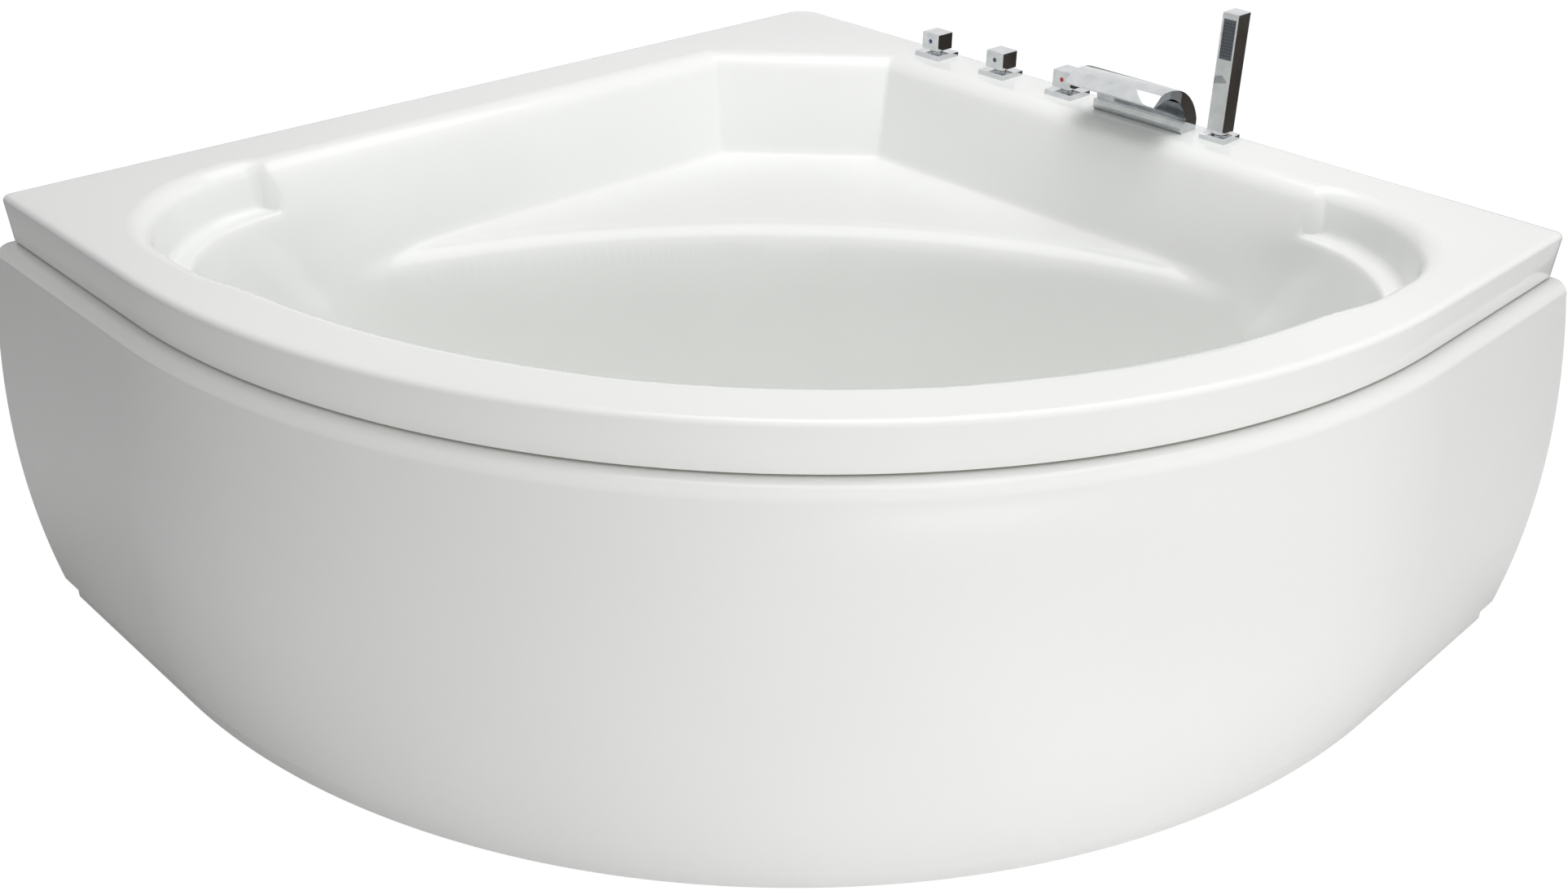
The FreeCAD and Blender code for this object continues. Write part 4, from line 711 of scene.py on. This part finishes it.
def hood_surface():
    """The spout's curved hood: a section of two arcs and a falling lip, carried along the spout's
    length with its ends eased by a small round."""
    outer = arc_points((0.0, HOOD_FOOT), HOOD_OUTER_END, HOOD_OUTER_RADIUS, HOOD_OUTER_POINTS)
    inner = arc_points((HOOD_INNER_START, HOOD_FOOT), HOOD_INNER_END, HOOD_INNER_RADIUS,
                       HOOD_INNER_POINTS)
    section = np.concatenate([outer, HOOD_LIP, inner[::-1]]) + [HOOD_BACK, 0.0]
    first_half = np.array([-HOOD_HALF, HOOD_EASE_START - HOOD_HALF, HOOD_EASE - HOOD_HALF])
    places = np.concatenate([first_half, -first_half[::-1]])
    shrink = np.array([1.0, HOOD_EASE_SHARE, 0.0, 0.0, HOOD_EASE_SHARE, 1.0]) * HOOD_EASE
    inwards = section - section.mean(0)
    inwards = inwards / np.linalg.norm(inwards, axis=1, keepdims=True)
    rings = section[None] - shrink[:, None, None] * inwards[None]
    u = rings[:, :, 0]
    v = np.broadcast_to(SPOUT_MIDDLE + places[:, None], u.shape)
    points = row_points(u, v, DECK + rings[:, :, 1]).reshape(-1, 3)
    return points, sweep_faces(points, *u.shape)


# ---- materials ----------------------------------------------------------------------------

def linear(hex_colour):
    """An sRGB hex colour as linear red, green, blue and an alpha of 1."""
    values = [int(hex_colour[index:index + 2], 16) / 255.0 for index in (1, 3, 5)]
    return [value / 12.92 if value <= 0.04045 else ((value + 0.055) / 1.055) ** 2.4
            for value in values] + [1.0]


def add_node(tree, kind, settings=None, links=None):
    """Add a node with its settings by input or property name, or a ramp's colours as "stops", and
    with links from other outputs by the input's name or number."""
    node = tree.nodes.new("ShaderNode" + kind)
    for name, value in (settings or {}).items():
        if name == "stops":
            elements = node.color_ramp.elements
            while len(elements) < len(value):
                elements.new(0.5)
            for element, (position, hex_colour) in zip(elements, value):
                element.position = position
                element.color = linear(hex_colour)
        elif name in node.inputs:
            node.inputs[name].default_value = value
        else:
            setattr(node, name, value)
    for place, source in (links or {}).items():
        tree.links.new(source, node.inputs[place])
    return node


def new_material(name):
    """A node material without nodes, and its node tree."""
    material = bpy.data.materials.new(name)
    material.use_nodes = True
    material.node_tree.nodes.clear()
    return material, material.node_tree


def cast_acrylic():
    """Vacuum-formed acrylic sheet: a clear glossy skin, very slightly uneven over about 60 mm, with
    a faint change of whiteness where the sheet stretched."""
    material, tree = new_material("cast_acrylic")
    place = add_node(tree, "TexCoord").outputs["Object"]
    broad = add_node(tree, "TexNoise", {"Scale": 1.0 / 0.35, "Detail": 1.0}, {"Vector": place})
    skin = add_node(tree, "TexNoise", {"Scale": 1.0 / 0.06, "Detail": 2.0}, {"Vector": place})
    white = add_node(tree, "ValToRGB", {"stops": ((0.35, "#f5f6f4"), (0.65, "#f8f9f7"))},
                     {"Fac": broad.outputs["Fac"]})
    gloss = add_node(tree, "MapRange", {"To Min": 0.07, "To Max": 0.12}, {"Value": skin.outputs["Fac"]})
    relief = add_node(tree, "Bump", {"Strength": 0.25, "Distance": 0.1 * MM},
                      {"Height": skin.outputs["Fac"]})
    shader = add_node(tree, "BsdfPrincipled", {"IOR": 1.49}, {
        "Base Color": white.outputs["Color"],
        "Roughness": gloss.outputs["Result"],
        "Normal": relief.outputs["Normal"],
    })
    add_node(tree, "OutputMaterial", links={"Surface": shader.outputs["BSDF"]})
    return material


def glass_fibre_laminate():
    """Sprayed chopped strand and resin on the shell's hidden side: pale, rough, with a pattern of
    strands about 12 mm apart and lumps of about 30 mm."""
    material, tree = new_material("chopped_strand_laminate")
    place = add_node(tree, "TexCoord").outputs["Object"]
    strands = add_node(tree, "TexVoronoi", {"Scale": 1.0 / 0.012, "feature": "DISTANCE_TO_EDGE"},
                       {"Vector": place})
    lumps = add_node(tree, "TexNoise", {"Scale": 1.0 / 0.03, "Detail": 5.0}, {"Vector": place})
    resin = add_node(tree, "ValToRGB", {"stops": ((0.0, "#d5d0bd"), (0.25, "#c3bda6"), (1.0, "#aea88f"))},
                     {"Fac": strands.outputs["Distance"]})
    relief = add_node(tree, "Bump", {"Strength": 0.8, "Distance": 1.5 * MM},
                      {"Height": lumps.outputs["Fac"]})
    shader = add_node(tree, "BsdfPrincipled", {"Roughness": 0.55}, {
        "Base Color": resin.outputs["Color"],
        "Normal": relief.outputs["Normal"],
    })
    add_node(tree, "OutputMaterial", links={"Surface": shader.outputs["BSDF"]})
    return material


def plated_chrome():
    """Bright chrome plate on brass: a mirror, with faint polishing haze in patches of 20 mm."""
    material, tree = new_material("chrome_plate")
    place = add_node(tree, "TexCoord").outputs["Object"]
    haze = add_node(tree, "TexNoise", {"Scale": 1.0 / 0.02, "Detail": 3.0}, {"Vector": place})
    tint = add_node(tree, "ValToRGB", {"stops": ((0.3, "#c4c7c9"), (0.7, "#d3d5d7"))},
                    {"Fac": haze.outputs["Fac"]})
    gloss = add_node(tree, "MapRange", {"To Min": 0.03, "To Max": 0.07}, {"Value": haze.outputs["Fac"]})
    shader = add_node(tree, "BsdfPrincipled", {"Metallic": 1.0}, {
        "Base Color": tint.outputs["Color"],
        "Roughness": gloss.outputs["Result"],
    })
    add_node(tree, "OutputMaterial", links={"Surface": shader.outputs["BSDF"]})
    return material


def zinc_coated_steel():
    """Hot-dip galvanised steel: grey spangle crystals about 9 mm across, satin."""
    material, tree = new_material("galvanised_steel")
    place = add_node(tree, "TexCoord").outputs["Object"]
    spangle = add_node(tree, "TexVoronoi", {"Scale": 1.0 / 0.009}, {"Vector": place})
    grey = add_node(tree, "SeparateColor", links={"Color": spangle.outputs["Color"]}).outputs["Red"]
    tint = add_node(tree, "ValToRGB", {"stops": ((0.0, "#9a9fa3"), (1.0, "#c4c8cb"))}, {"Fac": grey})
    gloss = add_node(tree, "MapRange", {"To Min": 0.28, "To Max": 0.5}, {"Value": grey})
    shader = add_node(tree, "BsdfPrincipled", {"Metallic": 0.9}, {
        "Base Color": tint.outputs["Color"],
        "Roughness": gloss.outputs["Result"],
    })
    add_node(tree, "OutputMaterial", links={"Surface": shader.outputs["BSDF"]})
    return material


def pressed_chipboard():
    """Chipboard: flakes 5 mm wide and 10 mm long in brown shades, matt, slightly uneven."""
    material, tree = new_material("chipboard")
    place = add_node(tree, "TexCoord").outputs["Object"]
    stretched = add_node(tree, "Mapping", {"Scale": (1.0, 0.5, 1.0)}, {"Vector": place})
    flakes = add_node(tree, "TexVoronoi", {"Scale": 1.0 / 0.005}, {"Vector": stretched.outputs["Vector"]})
    shade = add_node(tree, "SeparateColor", links={"Color": flakes.outputs["Color"]}).outputs["Green"]
    brown = add_node(tree, "ValToRGB", {"stops": ((0.0, "#8f6e45"), (0.5, "#b28e5f"), (1.0, "#cdae80"))},
                     {"Fac": shade})
    relief = add_node(tree, "Bump", {"Strength": 0.4, "Distance": 0.3 * MM}, {"Height": shade})
    shader = add_node(tree, "BsdfPrincipled", {"Roughness": 0.8}, {
        "Base Color": brown.outputs["Color"],
        "Normal": relief.outputs["Normal"],
    })
    add_node(tree, "OutputMaterial", links={"Surface": shader.outputs["BSDF"]})
    return material


def moulded_plastic(name, dark, pale, roughness, grain_mm, coat=0.0):
    """Injection-moulded plastic or rubber: an even colour with a fine grain from the mould, drawn
    coarser than the real one so that it shows."""
    material, tree = new_material(name)
    place = add_node(tree, "TexCoord").outputs["Object"]
    grain = add_node(tree, "TexNoise", {"Scale": 1.0 / (grain_mm * MM), "Detail": 3.0}, {"Vector": place})
    tint = add_node(tree, "ValToRGB", {"stops": ((0.3, dark), (0.7, pale))}, {"Fac": grain.outputs["Fac"]})
    gloss = add_node(tree, "MapRange", {"To Min": roughness - 0.05, "To Max": roughness + 0.05},
                     {"Value": grain.outputs["Fac"]})
    relief = add_node(tree, "Bump", {"Strength": 0.3, "Distance": 0.08 * MM},
                      {"Height": grain.outputs["Fac"]})
    shader = add_node(tree, "BsdfPrincipled", {"Coat Weight": coat}, {
        "Base Color": tint.outputs["Color"],
        "Roughness": gloss.outputs["Result"],
        "Normal": relief.outputs["Normal"],
    })
    add_node(tree, "OutputMaterial", links={"Surface": shader.outputs["BSDF"]})
    return material


def drawn_metal(name, dark, pale, roughness):
    """Drawn or turned copper alloy: bright, with patches of early tarnish about 25 mm across."""
    material, tree = new_material(name)
    place = add_node(tree, "TexCoord").outputs["Object"]
    tarnish = add_node(tree, "TexNoise", {"Scale": 1.0 / 0.025, "Detail": 4.0}, {"Vector": place})
    tint = add_node(tree, "ValToRGB", {"stops": ((0.35, dark), (0.65, pale))},
                    {"Fac": tarnish.outputs["Fac"]})
    gloss = add_node(tree, "MapRange", {"To Min": roughness, "To Max": roughness + 0.2},
                     {"Value": tarnish.outputs["Fac"]})
    shader = add_node(tree, "BsdfPrincipled", {"Metallic": 1.0}, {
        "Base Color": tint.outputs["Color"],
        "Roughness": gloss.outputs["Result"],
    })
    add_node(tree, "OutputMaterial", links={"Surface": shader.outputs["BSDF"]})
    return material


MATERIALS = {
    "acrylic": cast_acrylic(),
    "board": pressed_chipboard(),
    "galvanised_steel": zinc_coated_steel(),
    "black_plastic": moulded_plastic("black_nylon", "#17181a", "#222427", 0.45, 1.2),
    "white_plastic": moulded_plastic("white_waste_pipe", "#dadad5", "#e3e3df", 0.3, 8.0),
    "rubber": moulded_plastic("gasket_rubber", "#151515", "#1f1f20", 0.75, 0.8),
    "chrome": plated_chrome(),
    "brass": drawn_metal("turned_brass", "#b08a44", "#d3b069", 0.25),
    "copper_pipe": drawn_metal("drawn_copper", "#a7603c", "#cf8a63", 0.22),
    "marker_blue": moulded_plastic("blue_enamel_dot", "#16297a", "#1c338c", 0.2, 3.0, 0.5),
    "marker_red": moulded_plastic("red_enamel_dot", "#a51414", "#b81c1a", 0.2, 3.0, 0.5),
    "marker_grey": moulded_plastic("grey_enamel_dot", "#3a3338", "#453d43", 0.2, 3.0, 0.5),
    "spray_grey": moulded_plastic("grey_spray_face", "#4b4f55", "#565b61", 0.35, 2.0),
    "nozzle_rubber": moulded_plastic("silicone_nozzles", "#26292c", "#303437", 0.5, 1.0),
}


# ---- pieces -------------------------------------------------------------------------------

def dress(piece, slot_name):
    """Give a piece the material of one of the record's slots, in place of any other."""
    piece.data.materials.clear()
    piece.data.materials.append(MATERIALS[slot_name])


def build_tub():
    """The bored shell, with acrylic on the side that shows and laminate on the hidden side."""
    points, faces, hidden = tub_surface()
    tub = make_piece("tub_shell_skin", points, faces)
    dress(tub, "acrylic")
    tub.data.materials.append(glass_fibre_laminate())
    tub.data.polygons.foreach_set("material_index", hidden.astype(np.int32))
    bored(tub, tub_holes())
    tub.data.set_sharp_from_angle(angle=math.radians(SHARP_ANGLE))
    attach(tub, "bath")
    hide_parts("tub_shell")


def build_panel():
    """The bowed front panel."""
    panel = make_piece("front_panel_skin", *front_panel_surface(), sharp_angle=SECTION_SHARP_ANGLE)
    dress(panel, "acrylic")
    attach(panel, "bath")
    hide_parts("front_panel")


def build_hood():
    """The spout's curved hood."""
    hood = make_piece("spout_hood_skin", *hood_surface(), sharp_angle=SECTION_SHARP_ANGLE)
    dress(hood, "chrome")
    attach(hood, "bath")
    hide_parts("spout_hood")


build_tub()
build_panel()
build_hood()

for part in frame["record"]["subparts"]:
    node = nodes.get(part["node"])
    if node is not None:
        dress(node, part["material_slot"])


# ---- studio, in metres --------------------------------------------------------------------

FLOOR_LEFT, FLOOR_RIGHT = -9.0, 9.0
FLOOR_NEAR, FLOOR_FAR = -7.0, 11.0

# The camera sees this share of the floor as a white glow, and the rest with the bath's shadow.
FLOOR_GLOW = 1.12
FLOOR_GLOW_SHARE = 0.86

# The dark flag stands upright beyond the right wall side.
FLAG_PLACE = 1.5
FLAG_NEAR, FLAG_FAR = 0.1, 1.4
FLAG_BOTTOM, FLAG_TOP = 0.02, 0.72

# The strength of the surroundings' light, and the fall past which a softbox counts as upright.
SOFT_LIGHT = 0.2
NEARLY_UPRIGHT = 0.99

# The camera was solved on the straight and curved edges of the bath in the photograph.
CAMERA_PLACE = np.array([15.10, -2148.30, 1375.80]) * MM
CAMERA_RIGHT = np.array([0.99914, -0.02238, 0.03486])
CAMERA_UP = np.array([-0.01941, 0.49076, 0.87107])
SENSOR_WIDTH_MM = 36.0
FOCAL_LENGTH_MM = 37.91
CAMERA_SHIFT_X = -0.0512
CAMERA_SHIFT_Y = -0.0045


def build_world():
    """White surroundings where the camera or a mirror looks, and a softer white for the light."""
    world = bpy.data.worlds.new("studio_surroundings")
    bpy.context.scene.world = world
    world.use_nodes = True
    tree = world.node_tree
    tree.nodes.clear()
    rays = add_node(tree, "LightPath")
    seen = add_node(tree, "Math", {"operation": "MAXIMUM"},
                    {0: rays.outputs["Is Camera Ray"], 1: rays.outputs["Is Glossy Ray"]})
    through = add_node(tree, "Math", {"operation": "MAXIMUM"},
                       {0: seen.outputs[0], 1: rays.outputs["Is Transmission Ray"]})
    soft = add_node(tree, "Background", {"Color": linear("#ffffff"), "Strength": SOFT_LIGHT})
    white = add_node(tree, "Background", {"Color": linear("#ffffff"), "Strength": 1.0})
    mixed = add_node(tree, "MixShader",
                     links={0: through.outputs[0], 1: soft.outputs[0], 2: white.outputs[0]})
    add_node(tree, "OutputWorld", links={"Surface": mixed.outputs[0]})


def build_floor():
    """A wide white floor that reads as the background but still darkens under the bath."""
    corners = [(FLOOR_LEFT, FLOOR_NEAR, 0.0), (FLOOR_RIGHT, FLOOR_NEAR, 0.0),
               (FLOOR_RIGHT, FLOOR_FAR, 0.0), (FLOOR_LEFT, FLOOR_FAR, 0.0)]
    floor = make_piece("studio_floor", corners, [(0, 1, 2, 3)])
    material, tree = new_material("white_floor")
    matt = add_node(tree, "BsdfPrincipled", {"Base Color": linear("#f2f2f2"), "Roughness": 0.9})
    glow = add_node(tree, "Emission", {"Color": linear("#ffffff"), "Strength": FLOOR_GLOW})
    rays = add_node(tree, "LightPath")
    share = add_node(tree, "Math", {"operation": "MULTIPLY"}, {0: rays.outputs["Is Camera Ray"]})
    share.inputs[1].default_value = FLOOR_GLOW_SHARE
    mixed = add_node(tree, "MixShader",
                     links={0: share.outputs[0], 1: matt.outputs[0], 2: glow.outputs[0]})
    add_node(tree, "OutputMaterial", links={"Surface": mixed.outputs[0]})
    floor.data.materials.append(material)


def build_flag():
    """A dark studio flag beyond the right wall side, seen only in the chrome's reflections, with painted
    shade of folds on its flat cloth.
    """
    corners = [(FLAG_PLACE, FLAG_NEAR, FLAG_BOTTOM), (FLAG_PLACE, FLAG_FAR, FLAG_BOTTOM),
               (FLAG_PLACE, FLAG_FAR, FLAG_TOP), (FLAG_PLACE, FLAG_NEAR, FLAG_TOP)]
    flag = make_piece("dark_flag", corners, [(0, 1, 2, 3)])
    material, tree = new_material("dark_studio_cloth")
    place = add_node(tree, "TexCoord").outputs["Object"]
    # Lighter and darker patches over the flat cloth are painted shade of folds, not real folds.
    painted_fold_shade = add_node(tree, "TexNoise", {"Scale": 1.0 / 0.25, "Detail": 2.0}, {"Vector": place})
    shade = add_node(tree, "ValToRGB", {"stops": ((0.35, "#4a443e"), (0.65, "#77706a"))},
                     {"Fac": painted_fold_shade.outputs["Fac"]})
    cloth = add_node(tree, "BsdfPrincipled", {"Roughness": 0.9}, {"Base Color": shade.outputs["Color"]})
    add_node(tree, "OutputMaterial", links={"Surface": cloth.outputs["BSDF"]})
    flag.data.materials.append(material)
    flag.visible_camera = False
    flag.visible_diffuse = False
    flag.visible_shadow = False
    flag.visible_transmission = False


def turned_to(right, up, place):
    """The matrix that puts a lamp or camera at a place: it looks along its own minus z."""
    turned = np.eye(4)
    turned[:3, 0] = right
    turned[:3, 1] = up
    turned[:3, 2] = np.cross(right, up)
    turned[:3, 3] = place
    return Matrix(turned.tolist())


def softbox(name, place, target, size, power, mirrored=True):
    """A rectangular area lamp that faces a target, and may be kept out of reflections."""
    lamp = bpy.data.lights.new(name, "AREA")
    lamp.shape = "RECTANGLE"
    lamp.size, lamp.size_y = size
    lamp.energy = power
    holder = bpy.data.objects.new(name, lamp)
    holder.visible_glossy = mirrored
    bpy.context.scene.collection.objects.link(holder)
    towards = np.array(target) - np.array(place)
    towards = towards / np.linalg.norm(towards)
    upwards = [0.0, 0.0, 1.0] if abs(towards[2]) < NEARLY_UPRIGHT else [0.0, 1.0, 0.0]
    side = np.cross(towards, upwards)
    side = side / np.linalg.norm(side)
    holder.matrix_world = turned_to(side, np.cross(side, towards), place)


def build_camera():
    """The photograph's viewpoint: place, direction, lens and the small shift of its frame."""
    camera = bpy.data.objects.new("photo_camera", bpy.data.cameras.new("photo_camera"))
    bpy.context.scene.collection.objects.link(camera)
    camera.matrix_world = turned_to(CAMERA_RIGHT, CAMERA_UP, CAMERA_PLACE)
    camera.data.sensor_width = SENSOR_WIDTH_MM
    camera.data.lens = FOCAL_LENGTH_MM
    camera.data.shift_x = CAMERA_SHIFT_X
    camera.data.shift_y = CAMERA_SHIFT_Y
    bpy.context.scene.camera = camera


build_world()
build_floor()
build_flag()

# Each softbox has its place, its target, its width and height in metres and its power in watts.
softbox("overhead_softbox", (0.5, -0.2, 2.9), (0.1, 0.0, 0.4), (2.4, 2.2), 29.0)
softbox("basin_softbox", (0.3, -0.2, 2.7), (0.05, -0.1, 0.2), (1.0, 0.9), 15.0, mirrored=False)
softbox("front_right_softbox", (1.9, -4.4, 1.1), (0.0, -0.3, 0.3), (2.0, 1.6), 84.0, mirrored=False)
build_camera()
bpy.context.scene.view_settings.view_transform = "Standard"
